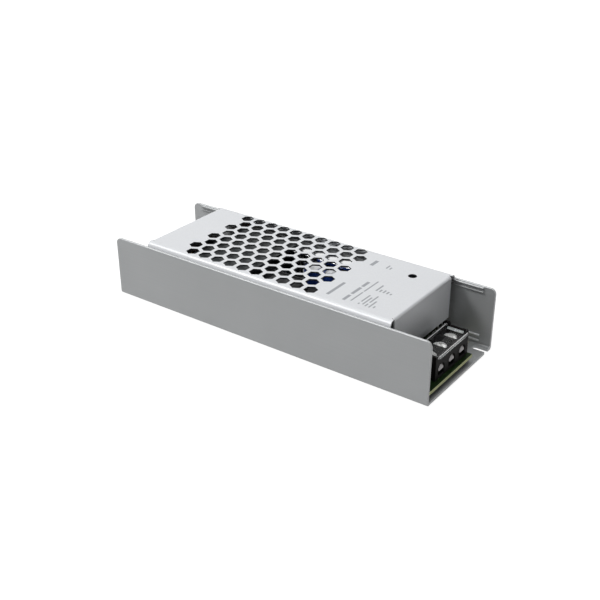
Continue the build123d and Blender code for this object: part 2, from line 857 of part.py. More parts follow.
with BuildPart() as trimmer_rotor:
    with Locations((trimmer_x, trimmer_y, board_top + trimmer_height - rotor_sink)):
        Cylinder(rotor_diameter / 2, rotor_sink + rotor_proud, align=standing)
    with BuildSketch(Plane.XY.offset(board_top + trimmer_height + rotor_proud)):
        with Locations((trimmer_x, trimmer_y)):
            Rectangle(rotor_slot, slot_cut)
            Rectangle(slot_cut, rotor_slot)
    extrude(amount=-slot_cut, mode=Mode.SUBTRACT)
keep("trimmer_rotor", trimmer_rotor.part)

# Small parts soldered flat to the board.
with BuildPart() as optocoupler:
    with Locations((coupler_x, coupler_wall_setback - inner_half, board_top)):
        Box(coupler_width, coupler_length, coupler_height, align=standing)
keep("optocoupler", optocoupler.part)

with BuildPart() as controller_chip:
    with Locations((cover_end - chip_setback, chip_y, board_top)):
        Box(chip_width, chip_length, chip_height, align=standing)
keep("controller_chip", controller_chip.part)

resistor_x = cover_end - resistor_setback
resistor_near = resistor_wall_setback - inner_half
with BuildPart() as resistors:
    for y in (resistor_near, resistor_near + resistor_spacing, -resistor_near):
        with Locations(Location((resistor_x, y, board_top + resistor_diameter / 2), (0, 90, 0))):
            Cylinder(resistor_diameter / 2, resistor_length)
    chamfer(resistors.edges().filter_by(GeomType.CIRCLE), resistor_edge)
keep("resistors", resistors.part)
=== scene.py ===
import json
import math

import bmesh
import bpy
from bpy.props import BoolProperty, FloatProperty, FloatVectorProperty, IntProperty, PointerProperty
from mathutils import Matrix, Vector


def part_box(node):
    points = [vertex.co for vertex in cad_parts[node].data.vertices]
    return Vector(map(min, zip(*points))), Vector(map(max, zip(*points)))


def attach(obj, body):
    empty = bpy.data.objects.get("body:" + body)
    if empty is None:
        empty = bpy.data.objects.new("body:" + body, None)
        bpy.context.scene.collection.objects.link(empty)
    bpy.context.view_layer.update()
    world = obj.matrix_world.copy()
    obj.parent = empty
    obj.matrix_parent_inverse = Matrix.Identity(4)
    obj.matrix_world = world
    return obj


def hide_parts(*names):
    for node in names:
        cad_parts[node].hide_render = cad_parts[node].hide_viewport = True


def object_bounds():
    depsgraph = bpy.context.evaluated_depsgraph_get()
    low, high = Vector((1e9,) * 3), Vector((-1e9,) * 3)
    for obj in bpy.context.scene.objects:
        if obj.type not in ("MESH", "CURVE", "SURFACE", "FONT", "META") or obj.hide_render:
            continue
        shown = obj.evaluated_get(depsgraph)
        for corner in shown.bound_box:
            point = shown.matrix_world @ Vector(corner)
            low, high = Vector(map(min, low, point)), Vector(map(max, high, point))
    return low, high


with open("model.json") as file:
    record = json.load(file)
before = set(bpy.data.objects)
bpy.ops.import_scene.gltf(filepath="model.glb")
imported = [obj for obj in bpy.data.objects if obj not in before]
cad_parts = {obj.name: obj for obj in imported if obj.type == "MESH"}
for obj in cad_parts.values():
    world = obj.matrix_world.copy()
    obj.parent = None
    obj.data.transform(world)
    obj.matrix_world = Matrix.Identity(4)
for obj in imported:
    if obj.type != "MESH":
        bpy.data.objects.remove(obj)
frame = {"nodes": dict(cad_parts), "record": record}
cad_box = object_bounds()

bl_info = {
    "name": "Slim Power Supply",
    "version": (1, 0, 0),
    "blender": (4, 5, 0),
    "location": "View3D > Sidebar > Power Supply",
    "description": "Finishes and detailed pieces for a slim mains power supply in a metal channel",
    "category": "Add Mesh",
}

MM = 0.001
FULL_TURN = 2 * math.pi
POLES = (1, 2, 3)
ENDS = ("output", "input")

# Terminal screws in mm: the head and its driver recess, then the shank and the thread as radii.
HEAD_HEIGHT = 2.2
SLOT_WIDTH = 1.0
SLOT_DEPTH = 0.9
CROSS_WIDTH = 1.1
CROSS_DEPTH = 1.2
CROSS_SHARE = 0.64
RECESS_EDGE = 0.06
SHANK = 1.5
THREAD_ROOT = 1.22
THREAD_PITCH = 0.5
THREAD_TURNS = 6

# How far each driver recess is turned, in degrees.
DRIVER_ANGLES = {"output": (15, -40, 65), "input": (-10, 50, -70)}

# Clear flaps in mm: the hinge, the sheet, and the skirt at each end.
FLAP_HINGE_RISE = 0.8
FLAP_INSET = 1.75
FLAP_SHEET = 0.8
FLAP_END = 2.6
SKIRT_LENGTH = 8.2
SKIRT_THICKNESS = 0.8
SKIRT_HEIGHT = 1.3
SKIRT_DROP = 0.35

# What counts as a face of a flap's rounded edge, which gets the painted rim highlight: its width in metres,
# its area in square metres.
RIM_WIDTH = 0.3 * MM
RIM_AREA = 6e-6
HINGE_RIM_AREA = 1e-5

# Wire guides in mm, and their bends, each how far out and how far down.
LEAF_SIZE = (0.6, 4.2)
LEAF_SHEET = 0.3
LEAF_EDGE = 0.08
LEAF_SETBACK = 1.95
LEAF_HEIGHT = 11.6
LEAF_BENDS = ((0.5, -0.5), (0.75, -1.3), (0.2, -0.8))

# Round capacitors in mm: the can inside its sleeve, and the dish and the scores in the can's top.
CAN_GAP = 0.25
SLEEVE_SHEET = 0.22
CAN_DISH = 0.3
SCORE_END = 1.7
SCORE_WIDTH = 0.35
SCORE_DEPTH = 0.4

# Other parts in mm: rounded edges, a disc, the resistors' spacing, and the leads.
PACKAGE_LEGS = 4.6
SINK_EDGE = 0.12
FILM_EDGE = 1.8
DISC_THICKNESS = 3.0
RESISTOR_PITCH = 5.0
LEAD = 0.6
DISC_LEAD_REACH = 2.5
FILM_LEAD = 0.7
FILM_LEAD_REACH = 4.0

# Wound rings: radii, depth and wire in mm, then where the turns start and sweep in degrees.
CHOKE_COIL = {"outer": 9.0, "bore": 5.0, "depth": 7.0, "wire_diameter": 1.15, "sweep": 98}
CHOKE_STARTS = (-49, 131)
INDUCTOR_COIL = {"outer": 8.0, "bore": 4.4, "depth": 6.5, "wire_diameter": 1.05, "sweep": 308}
INDUCTOR_START = 26

# Where finishes change, in metres: the channel's ridges and wall tops, the cover's sheet, a band.
RIDGE_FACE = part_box("circuit_board")[1].y - 0.15 * MM
BOARD_LEVEL = (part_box("circuit_board")[0].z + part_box("circuit_board")[1].z) / 2
RIDGE_REACH = 2.6 * MM
UPPER_RIDGES = 20 * MM
WALL_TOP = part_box("channel_base")[1].z - 0.6 * MM
SHEET_UNDERSIDE = cad_box[1][2] - 0.85 * MM
BAND_HALF_WIDTH = 0.3 * MM

# The channel's colour times this: lighter on its wall tops and lower ridges as a painted highlight, and
# darker on its upper ridges as painted shade.
PAINTED_HIGHLIGHT_SHARE = 1.7
PAINTED_SHADE_SHARE = 0.6

# The camera's place in metres, the way it looks, and its lens and sensor in mm.
CAMERA_PLACE = (0.24437, -0.33268, 0.22599)
CAMERA_LOOK = (-0.52162, 0.71679, -0.46274)
LENS = 57.47
SENSOR = 36.0

# The lamps, each its place and its side in metres.
KEY_LAMP = ((-0.84, -0.74, 1.16), 0.4)
TOP_LAMP = ((0.0, 0.05, 0.7), 0.6)

# The floor: how far it lies under the part in mm, its levels, and where its glow fades in metres.
FLOOR_DROP = 0.05
FLOOR_DARK, FLOOR_LIGHT = 0.34, 0.38
FLOOR_GLOW = 0.88
SHADOW_SHARE = 0.3
GLOW_FADE = (0.4, 1.2)

# Sizes in mm of a surface part's body, its tinned ends and its solder pads.
CHIP_BODY = (1.5, 1.2, 0.55)
CHIP_END = (0.34, 1.22, 0.57)
CHIP_PAD = (1.0, 1.3, 0.2)

# Small surface parts on the board, in mm and degrees: along, across, turn.
SURFACE_PARTS = (
    (71.5, 15.5, 0),
    (71.5, 18.5, 0),
    (72.0, 22.0, 90),
    (66.0, 20.0, 90),
    (66.0, 4.0, 0),
    (66.5, -1.0, 90),
    (52.5, -3.0, 0),
    (52.5, -15.5, 0),
    (47.5, -26.0, 0),
    (31.0, -25.0, 90),
    (12.0, 1.0, 0),
    (-8.0, 24.5, 90),
    (-52.5, -26.0, 0),
    (-71.5, -15.5, 0),
    (-71.5, -18.5, 0),
    (-72.0, -22.0, 90),
)

# Bands round a resistor: the place along it in mm, and the colour.
RESISTOR_BANDS = ((-2.0, "5A3018"), (-1.0, "1A1A1A"), (0.0, "8E2318"), (2.1, "A8842E"))

# Bars of the plain printed block on the cover, in mm: the place along the part, the two ends, the height.
PRINT_BARS = (
    (33.6, -22.8, -8.7, 1.7),
    (42.2, -23.1, -17.4, 1.7),
    (42.2, -16.2, -8.6, 1.7),
    (42.2, -7.6, -1.9, 1.7),
    (45.4, -21.9, -12.0, 0.9),
    (45.4, -11.2, 1.0, 0.9),
    (49.6, -22.6, -21.2, 0.9),
    (49.6, -19.9, -12.5, 0.9),
    (51.4, -21.8, -14.0, 0.9),
    (53.1, -22.7, -19.8, 0.9),
    (53.1, -18.7, -11.4, 0.9),
    (55.0, -22.7, -15.9, 0.9),
    (56.9, -22.1, -20.1, 0.9),
    (49.3, -7.5, -1.0, 1.0),
    (51.1, -7.5, -5.0, 1.0),
    (52.9, -7.5, -4.5, 1.0),
    (54.7, -7.5, -5.0, 1.0),
    (56.5, -7.5, -5.9, 1.0),
    (33.5, 13.4, 19.4, 2.0),
    (41.0, 14.6, 18.4, 0.9),
    (42.8, 14.6, 17.0, 0.9),
)


def linear(hex_code):
    """A colour written as six hex digits, as the linear values that a shader takes."""
    values = [int(hex_code[i : i + 2], 16) / 255 for i in (0, 2, 4)]
    return tuple(v / 12.92 if v <= 0.04045 else ((v + 0.055) / 1.055) ** 2.4 for v in values)


def colour_setting(name, description, hex_code):
    """A colour that a user may change."""
    return FloatVectorProperty(
        name=name, description=description, subtype="COLOR", size=3, min=0, max=1, default=linear(hex_code)
    )


def length_setting(name, description, value):
    """A length that a user may change, given in mm and kept in metres."""
    return FloatProperty(
        name=name, description=description, default=value * MM, min=0, precision=5, unit="LENGTH"
    )


class SheetMetalSettings(bpy.types.PropertyGroup):
    channel_colour: colour_setting("Channel", "Bare extruded aluminium", "B2B4B5")
    cover_colour: colour_setting("Cover", "Light coat of the folded sheet", "E2E4E7")
    print_colour: colour_setting("Print", "Ink of the plain printed block", "9C9FA4")
    # The vents' cut walls are bare metal, and their dark colour is painted shade.
    cut_walls_shade_colour: colour_setting("Punched walls", "Cut walls of the vents", "2E3032")
    cover_edge: length_setting("Cover edge", "Rounding of the cover's sheared edges", 0.05)


class TerminalSettings(bpy.types.PropertyGroup):
    moulding_colour: colour_setting("Moulding", "Black of the terminal blocks", "161414")
    clear_colour: colour_setting("Clear flap", "Tint of the clear flaps", "FBFDFD")
    screw_colour: colour_setting("Screws", "Nickel plate of screws and cages", "DEDCDB")
    moulding_edge: length_setting("Moulding edge", "Rounding of the moulding's edges", 0.15)
    flap_edge: length_setting("Flap edge", "Rounding of the clear flap's edges", 0.15)
    dome_rise: length_setting("Head dome", "Rise of a screw head's dome", 1.1)
    recess_depth: length_setting("Recess", "Depth of the driver recess", 1.2)


class BoardSettings(bpy.types.PropertyGroup):
    mask_colour: colour_setting("Solder mask", "Green of the circuit board", "1A2C12")
    # The cut edge is pale laminate, lightened further as a painted highlight.
    edge_and_highlight_colour: colour_setting("Board edge", "Cut edge of the board", "F6FBC4")
    routed_edge: length_setting("Routed edge", "Breaking of the board's cut edges", 0.4)


class PartsSettings(bpy.types.PropertyGroup):
    sink_colour: colour_setting("Heat sinks", "Dark anodised sheet", "4A4D4F")
    tape_colour: colour_setting("Tape", "Winding tape", "2A2A2C")
    sleeve_colour: colour_setting("Sleeve", "Output capacitor sleeves", "1C3A80")
    copper_colour: colour_setting("Wire", "Enamelled winding wire", "A5532B")
    choke_turns: IntProperty(name="Choke turns", description="Turns in each choke coil", default=7, min=2)
    inductor_turns: IntProperty(name="Inductor turns", description="Turns on the inductor", default=19, min=2)
    parts_edge: length_setting("Part edge", "Rounding of boxed parts", 0.2)


class StageSettings(bpy.types.PropertyGroup):
    floor_size: length_setting("Floor", "Side of the square floor", 6000.0)
    sky_level: FloatProperty(name="Sky", description="Light of the plain surroundings", default=0.14, min=0)
    key_power: FloatProperty(name="Key", description="Power of the soft light", default=13.0, min=0)
    top_power: FloatProperty(name="Overhead", description="Power of the light above", default=2.2, min=0)
    show_shadow: BoolProperty(name="Shadow", description="Keep the shadow on the floor", default=True)


def only(piece):
    """Select one object and nothing else."""
    bpy.ops.object.select_all(action="DESELECT")
    piece.select_set(True)
    bpy.context.view_layer.objects.active = piece


def name_new(name):
    """Name the object that an operator has just added, and its mesh."""
    piece = bpy.context.active_object
    piece.name = name
    piece.data.name = name
    return piece


def edit(piece):
    """Open one object in edit mode with all of it selected."""
    only(piece)
    bpy.ops.object.mode_set(mode="EDIT")
    bpy.ops.mesh.select_mode(type="VERT")
    bpy.ops.mesh.select_all(action="SELECT")


def done():
    bpy.ops.object.mode_set(mode="OBJECT")


def apply_modifiers(piece):
    only(piece)
    for modifier in list(piece.modifiers):
        bpy.ops.object.modifier_apply(modifier=modifier.name)


def bevel_edges(piece, width, segments=2, angle=30, harden=False):
    """Round the sharp edges of a finished mesh."""
    only(piece)
    bevel = piece.modifiers.new("Rounded edges", "BEVEL")
    bevel.width = width
    bevel.segments = segments
    bevel.limit_method = "ANGLE"
    bevel.angle_limit = math.radians(angle)
    bevel.harden_normals = harden
    apply_modifiers(piece)


def smooth(piece, angle=35):
    only(piece)
    bpy.ops.object.shade_smooth_by_angle(angle=math.radians(angle))


def softened(node, name, width, segments=2):
    """A copy of a CAD node with its sheared or moulded edges rounded."""
    mesh = frame["nodes"][node].data.copy()
    mesh.materials.clear()
    mesh.name = name
    piece = bpy.data.objects.new(name, mesh)
    bpy.context.scene.collection.objects.link(piece)
    only(piece)
    bpy.ops.mesh.customdata_custom_splitnormals_clear()
    edit(piece)
    bpy.ops.mesh.remove_doubles(threshold=0.002 * MM)
    bpy.ops.mesh.dissolve_limited(angle_limit=math.radians(0.4))
    done()
    bpy.ops.object.shade_smooth()
    bevel_edges(piece, width, segments, harden=True)
    return piece


def turned(name, profile, steps=40):
    """A closed round shape about Z, spun from (radius, height) points given in mm from bottom to top."""
    mesh = bpy.data.meshes.new(name)
    points = [(r * MM, 0, z * MM) for r, z in profile]
    mesh.from_pydata(points, [(i, i + 1) for i in range(len(points) - 1)], [])
    piece = bpy.data.objects.new(name, mesh)
    bpy.context.scene.collection.objects.link(piece)
    edit(piece)
    bpy.ops.mesh.spin(steps=steps, angle=FULL_TURN, center=(0, 0, 0), axis=(0, 0, 1))
    bpy.ops.mesh.select_all(action="SELECT")
    bpy.ops.mesh.remove_doubles(threshold=0.001 * MM)
    bpy.ops.mesh.normals_make_consistent(inside=False)
    done()
    smooth(piece)
    return piece


def placed(piece, x=0.0, y=0.0, z=0.0, turn=None):
    """Put a mesh in its place, in mm, and leave its object at the origin."""
    matrix = Matrix.Translation((x * MM, y * MM, z * MM))
    if turn is not None:
        angle, axis = turn
        matrix = matrix @ Matrix.Rotation(math.radians(angle), 4, axis)
    only(piece)
    piece.matrix_world = matrix
    bpy.ops.object.transform_apply(location=True, rotation=True, scale=True)
    return piece


def block(name, long, wide, tall):
    """A box about the origin, with its sides in mm."""
    bpy.ops.object.select_all(action="DESELECT")
    bpy.ops.mesh.primitive_cube_add(size=1)
    piece = name_new(name)
    edit(piece)
    bpy.ops.transform.resize(value=(long * MM, wide * MM, tall * MM))
    done()
    return piece


def cut_away(piece, cutter, name):
    """Take one mesh's shape out of a piece, and delete that mesh."""
    only(piece)
    cut = piece.modifiers.new(name, "BOOLEAN")
    cut.operation = "DIFFERENCE"
    cut.solver = "EXACT"
    cut.object = cutter
    apply_modifiers(piece)
    bpy.data.objects.remove(cutter)


def another(piece, name):
    """A copy of a piece with its own mesh."""
    mesh = piece.data.copy()
    mesh.name = name
    copy = bpy.data.objects.new(name, mesh)
    bpy.context.scene.collection.objects.link(copy)
    return copy


def joined(pieces, name):
    """Several meshes made one."""
    bpy.ops.object.select_all(action="DESELECT")
    for piece in pieces:
        piece.select_set(True)
    bpy.context.view_layer.objects.active = pieces[0]
    bpy.ops.object.join()
    return name_new(name)


def wire(name, points, diameter, closed=False, round_steps=3):
    """A round wire along a smooth line through control points given in mm."""
    line = bpy.data.curves.new(name, "CURVE")
    line.dimensions = "3D"
    line.bevel_depth = diameter / 2 * MM
    line.bevel_resolution = round_steps
    line.use_fill_caps = not closed
    spline = line.splines.new("NURBS")
    spline.points.add(len(points) - 1)
    for point, place in zip(spline.points, points):
        point.co = (*[v * MM for v in place], 1)
    spline.order_u = 3
    spline.use_endpoint_u = not closed
    spline.use_cyclic_u = closed
    spline.resolution_u = 3
    piece = bpy.data.objects.new(name, line)
    bpy.context.scene.collection.objects.link(piece)
    only(piece)
    bpy.ops.object.convert(target="MESH")
    piece = name_new(name)
    smooth(piece, 60)
    return piece


def settle(piece, slot, body="housing"):
    """Give a new piece its finish and its body."""
    piece.data.materials.clear()
    piece.data.materials.append(FINISHES[slot])
    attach(piece, body)


def stand_for(piece, node, body="housing"):
    """Let a piece take a CAD node's place, with the finish of the node's slot."""
    settle(piece, SLOTS[node], body)
    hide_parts(node)


def second_finish(piece, slot, wanted):
    """Give a second finish to the faces whose centre, in mm, passes the test."""
    piece.data.materials.append(FINISHES[slot])
    for face in piece.data.polygons:
        if wanted(face.center / MM):
            face.material_index = 1


def dress(node, material):
    """Give a CAD node a better material."""
    for place in frame["nodes"][node].material_slots:
        place.material = material


class Recipe:
    """A node tree under construction: a material, or a node group with named inputs and outputs."""

    def __init__(self, tree):
        self.tree = tree

    def node(self, kind, **settings):
        made = self.tree.nodes.new(kind)
        for key, value in settings.items():
            setattr(made, key, value)
        return made

    def feed(self, socket, value):
        if isinstance(value, bpy.types.NodeSocket):
            self.tree.links.new(value, socket)
        elif socket.type == "RGBA":
            socket.default_value = (*value, 1) if len(value) == 3 else value
        else:
            socket.default_value = value

    def math(self, operation, first, second=None, third=None):
        made = self.node("ShaderNodeMath", operation=operation)
        for socket, value in zip(made.inputs, (first, second, third)):
            if value is not None:
                self.feed(socket, value)
        return made.outputs[0]

    def axes(self, vector):
        """The three parts of a vector."""
        made = self.node("ShaderNodeSeparateXYZ")
        self.feed(made.inputs[0], vector)
        return made.outputs

    def seen_directly(self):
        """A mask of the rays that show a surface: straight on, in a reflection or through clear plastic."""
        rays = self.node("ShaderNodeLightPath").outputs
        seen = self.math("MAXIMUM", rays["Is Camera Ray"], rays["Is Glossy Ray"])
        return self.math("MAXIMUM", seen, rays["Is Transmission Ray"])

    def noise(self, vector, scale, detail=2.0, roughness=0.5):
        made = self.node("ShaderNodeTexNoise")
        self.feed(made.inputs["Vector"], vector)
        self.feed(made.inputs["Scale"], scale)
        self.feed(made.inputs["Detail"], detail)
        self.feed(made.inputs["Roughness"], roughness)
        return made.outputs["Fac"]

    def spread(self, value, low, high, to_low=0.0, to_high=1.0):
        made = self.node("ShaderNodeMapRange")
        made.clamp = True
        for name, number in (("From Min", low), ("From Max", high), ("To Min", to_low), ("To Max", to_high)):
            self.feed(made.inputs[name], number)
        self.feed(made.inputs["Value"], value)
        return made.outputs["Result"]

    def mix(self, factor, first, second, blend="MIX"):
        made = self.node("ShaderNodeMix", data_type="RGBA", blend_type=blend)
        self.feed(made.inputs["Factor"], factor)
        self.feed(made.inputs[6], first)
        self.feed(made.inputs[7], second)
        return made.outputs[2]

    def stretched(self, vector, scale):
        made = self.node("ShaderNodeMapping")
        self.feed(made.inputs["Vector"], vector)
        self.feed(made.inputs["Scale"], scale)
        return made.outputs["Vector"]

    def group(self, name, **values):
        made = self.node("ShaderNodeGroup", node_tree=bpy.data.node_groups[name])
        for key, value in values.items():
            self.feed(made.inputs[key.replace("_", " ")], value)
        return made.outputs


class Finish(Recipe):
    """A material whose shader and object coordinates are ready to use."""

    def __init__(self, name, **constants):
        self.material = bpy.data.materials.new(name)
        self.material.use_nodes = True
        super().__init__(self.material.node_tree)
        self.shader = self.tree.nodes["Principled BSDF"]
        coordinates = self.node("ShaderNodeTexCoord")
        self.place = coordinates.outputs["Object"]
        self.normal = coordinates.outputs["Normal"]
        for key, value in constants.items():
            self.set(key.replace("_", " "), value)

    def set(self, socket, value):
        self.feed(self.shader.inputs[socket], value)

    def bump(self, height, strength, depth):
        """A bump, its depth in mm."""
        made = self.node("ShaderNodeBump")
        self.feed(made.inputs["Height"], height)
        self.feed(made.inputs["Strength"], strength)
        self.feed(made.inputs["Distance"], depth * MM)
        self.set("Normal", made.outputs["Normal"])


def new_group(name, inputs, outputs):
    """A shader node group with a vector input, number inputs with defaults, and value outputs."""
    tree = bpy.data.node_groups.new(name, "ShaderNodeTree")
    tree.interface.new_socket("Place", in_out="INPUT", socket_type="NodeSocketVector")
    for key, value in inputs.items():
        socket = tree.interface.new_socket(key, in_out="INPUT", socket_type="NodeSocketFloat")
        socket.default_value = value
    for key in outputs:
        tree.interface.new_socket(key, in_out="OUTPUT", socket_type="NodeSocketFloat")
    recipe = Recipe(tree)
    source = recipe.node("NodeGroupInput")
    result = recipe.node("NodeGroupOutput")
    return recipe, source.outputs, result.inputs


def build_groups():
    """The effects that several materials share."""
    # Fine lines along X, as a die or a rolling mill leaves them.
    recipe, given, result = new_group("Drawn lines", {"Across": 4000.0, "Along": 30.0}, ("Tone", "Height"))
    scale = recipe.node("ShaderNodeCombineXYZ")
    recipe.feed(scale.inputs[0], given["Along"])
    recipe.feed(scale.inputs[1], given["Across"])
    recipe.feed(scale.inputs[2], given["Across"])
    stretched = recipe.stretched(given["Place"], scale.outputs[0])
    lines = recipe.noise(stretched, 1.0, 3.0, 0.65)
    recipe.feed(result["Tone"], recipe.spread(lines, 0.3, 0.7))
    recipe.feed(result["Height"], lines)

    # Even small grain: paint, cast plastic, sintered ferrite or ceramic.
    recipe, given, result = new_group("Fine grain", {"Scale": 3000.0}, ("Tone", "Height"))
    fine = recipe.noise(given["Place"], given["Scale"], 2.0, 0.6)
    coarse = recipe.noise(given["Place"], recipe.math("MULTIPLY", given["Scale"], 0.31), 2.0, 0.5)
    both = recipe.math("MULTIPLY_ADD", coarse, 0.5, recipe.math("MULTIPLY", fine, 0.5))
    recipe.feed(result["Tone"], recipe.spread(both, 0.35, 0.65))
    recipe.feed(result["Height"], both)

    # Slow changes over centimetres: handling, heat, uneven anodising.
    recipe, given, result = new_group("Slow change", {"Scale": 60.0}, ("Tone",))
    slow = recipe.noise(given["Place"], given["Scale"], 3.0, 0.55)
    recipe.feed(result["Tone"], recipe.spread(slow, 0.3, 0.7))

    # A few thin scratches in mixed directions.
    recipe, given, result = new_group("Light scratches", {"Scale": 90.0, "Width": 0.02}, ("Mask",))
    bent = recipe.noise(given["Place"], given["Scale"], 1.0)
    line = recipe.math("ABSOLUTE", recipe.math("SUBTRACT", bent, 0.5))
    recipe.feed(result["Mask"], recipe.spread(line, 0.0, given["Width"], 1.0, 0.0))


def printed_bars(finish):
    """A mask of plain bars on the cover's upper side."""
    along, across, height = finish.axes(finish.place)
    soft = 0.15 * MM
    mask = None
    for x, near, far, tall in PRINT_BARS:
        side = finish.math("ABSOLUTE", finish.math("SUBTRACT", along, x * MM))
        in_side = finish.spread(side, tall / 2 * MM - soft, tall / 2 * MM, 1.0, 0.0)
        end = finish.math("ABSOLUTE", finish.math("SUBTRACT", across, (near + far) / 2 * MM))
        in_end = finish.spread(end, (far - near) / 2 * MM - soft, (far - near) / 2 * MM, 1.0, 0.0)
        bar = finish.math("MULTIPLY", in_side, in_end)
        mask = bar if mask is None else finish.math("MAXIMUM", mask, bar)
    top = cad_box[1][2] - 0.2 * MM
    return finish.math("MULTIPLY", mask, finish.math("GREATER_THAN", height, top))


def above(finish, level):
    """A mask of what stands higher than a level given in metres."""
    return finish.math("GREATER_THAN", finish.axes(finish.place)[2], level)


def ridges(finish, lowest, highest):
    """A mask of the ridges inside the walls, between two levels given in metres."""
    across, height = finish.axes(finish.place)[1:]
    inside = finish.math("LESS_THAN", finish.math("ABSOLUTE", across), RIDGE_FACE)
    over = finish.math("GREATER_THAN", height, lowest)
    under = finish.math("LESS_THAN", height, highest)
    return finish.math("MULTIPLY", inside, finish.math("MULTIPLY", over, under))


def upright(finish):
    """How far a surface faces up or down, from 0 to 1."""
    return finish.math("ABSOLUTE", finish.axes(finish.normal)[2])


def sheet_metal_finishes(settings):
    channel = Finish("Extruded aluminium", Metallic=0.3, IOR=1.5)
    lines = channel.group("Drawn lines", Place=channel.place, Across=2600.0, Along=8.0)
    slow = channel.group("Slow change", Place=channel.place, Scale=45.0)
    base = settings.channel_colour
    tone = channel.mix(lines["Tone"], [c * 0.97 for c in base], [min(c * 1.02, 1) for c in base])
    tone = channel.mix(channel.math("MULTIPLY", slow["Tone"], 0.25), tone, [c * 0.93 for c in base])
    # Painted highlight: the wall tops that face up get a little of it, the lower ridges all of it.
    painted_highlight_mask = channel.math("MULTIPLY", above(channel, WALL_TOP), channel.spread(upright(channel), 0.3, 0.7))
    lower = ridges(channel, BOARD_LEVEL - RIDGE_REACH, BOARD_LEVEL + RIDGE_REACH)
    painted_highlight_mask = channel.math("MAXIMUM", channel.math("MULTIPLY", painted_highlight_mask, 0.4), lower)
    tone = channel.mix(painted_highlight_mask, tone, [min(c * PAINTED_HIGHLIGHT_SHARE, 1) for c in base])
    # Painted shade: the upper ridges are darkened.
    upper = ridges(channel, UPPER_RIDGES, WALL_TOP)
    channel.set("Base Color", channel.mix(upper, tone, [c * PAINTED_SHADE_SHARE for c in base]))
    channel.set("Roughness", channel.spread(slow["Tone"], 0, 1, 0.4, 0.48))
    channel.bump(lines["Height"], 0.05, 0.01)

    cover = Finish("Light coat", Metallic=0.1, IOR=1.5)
    grain = cover.group("Fine grain", Place=cover.place, Scale=4500.0)
    slow = cover.group("Slow change", Place=cover.place, Scale=35.0)
    base = settings.cover_colour
    tone = cover.mix(grain["Tone"], [c * 0.96 for c in base], [min(c * 1.03, 1) for c in base])
    tone = cover.mix(cover.math("MULTIPLY", slow["Tone"], 0.3), tone, [c * 0.95 for c in base])
    tone = cover.mix(printed_bars(cover), tone, settings.print_colour)
    # The cut walls of the vents, in the sheet and not facing up or down, get the dark colour: bare cut metal
    # with painted shade.
    steep = cover.spread(upright(cover), 0.02, 0.12, 1, 0)
    cut_walls_shade = cover.math("MULTIPLY", above(cover, SHEET_UNDERSIDE), steep)
    cover.set("Base Color", cover.mix(cut_walls_shade, tone, settings.cut_walls_shade_colour))
    cover.set("Roughness", cover.spread(slow["Tone"], 0, 1, 0.36, 0.44))
    cover.bump(grain["Height"], 0.1, 0.02)
    return {"channel": channel.material, "cover": cover.material}


def plain_finish(name, colour, rough, metallic, scale, contrast, bump, specular=0.5):
    """A finish with fine grain and slow changes of tone."""
    finish = Finish(name, Metallic=metallic, Specular_IOR_Level=specular)
    grain = finish.group("Fine grain", Place=finish.place, Scale=scale)
    slow = finish.group("Slow change", Place=finish.place, Scale=scale / 30)
    dark = [c * (1 - contrast) for c in colour]
    light = [min(c * (1 + contrast), 1) for c in colour]
    tone = finish.mix(grain["Tone"], dark, light)
    finish.set("Base Color", finish.mix(finish.math("MULTIPLY", slow["Tone"], 0.5), tone, dark))
    finish.set("Roughness", finish.spread(slow["Tone"], 0, 1, *rough))
    finish.bump(grain["Height"], bump, 0.03)
    return finish.material


def clear_finish(colour):
    finish = Finish("Clear moulding", Metallic=0.0, IOR=1.12, Transmission_Weight=1.0)
    finish.set("Base Color", colour)
    slow = finish.group("Slow change", Place=finish.place, Scale=300.0)
    scratches = finish.group("Light scratches", Place=finish.place, Scale=160.0, Width=0.012)
    finish.set("Roughness", finish.spread(slow["Tone"], 0, 1, 0.0, 0.02))
    finish.bump(scratches["Mask"], 0.03, 0.01)
    return finish.material


def clear_rim_highlight_finish(colour):
    """The rim of clear plastic, painted pale as a painted highlight for the light that it gathers."""
    finish = Finish("Clear moulding's rim", Metallic=0.0, IOR=1.45, Transmission_Weight=0.35)
    grain = finish.group("Fine grain", Place=finish.place, Scale=1500.0)
    finish.set("Base Color", finish.mix(grain["Tone"], [c * 0.93 for c in colour], colour))
    finish.set("Roughness", finish.spread(grain["Tone"], 0, 1, 0.2, 0.3))
    return finish.material


def sleeve_finish(name, colour, painted_sheen_colour, painted_sheen_side):
    """A shrunk sleeve with a painted highlight: a pale stripe down the side that faces one way, the side the
    key lamp lights.
    """
    finish = Finish(name, Metallic=0.0, IOR=1.5)
    facing = finish.node("ShaderNodeVectorMath", operation="DOT_PRODUCT")
    finish.feed(facing.inputs[0], finish.normal)
    finish.feed(facing.inputs[1], painted_sheen_side)
    # The painted highlight covers the faces turned towards the lit side.
    painted_sheen = finish.spread(facing.outputs["Value"], 0.9, 0.91)
    grain = finish.group("Fine grain", Place=finish.place, Scale=900.0)
    tone = finish.mix(grain["Tone"], [c * 0.9 for c in colour], [min(c * 1.1, 1) for c in colour])
    finish.set("Base Color", finish.mix(painted_sheen, tone, painted_sheen_colour))
    finish.set("Roughness", finish.spread(grain["Tone"], 0, 1, 0.22, 0.32))
    finish.bump(grain["Height"], 0.05, 0.03)
    return finish.material


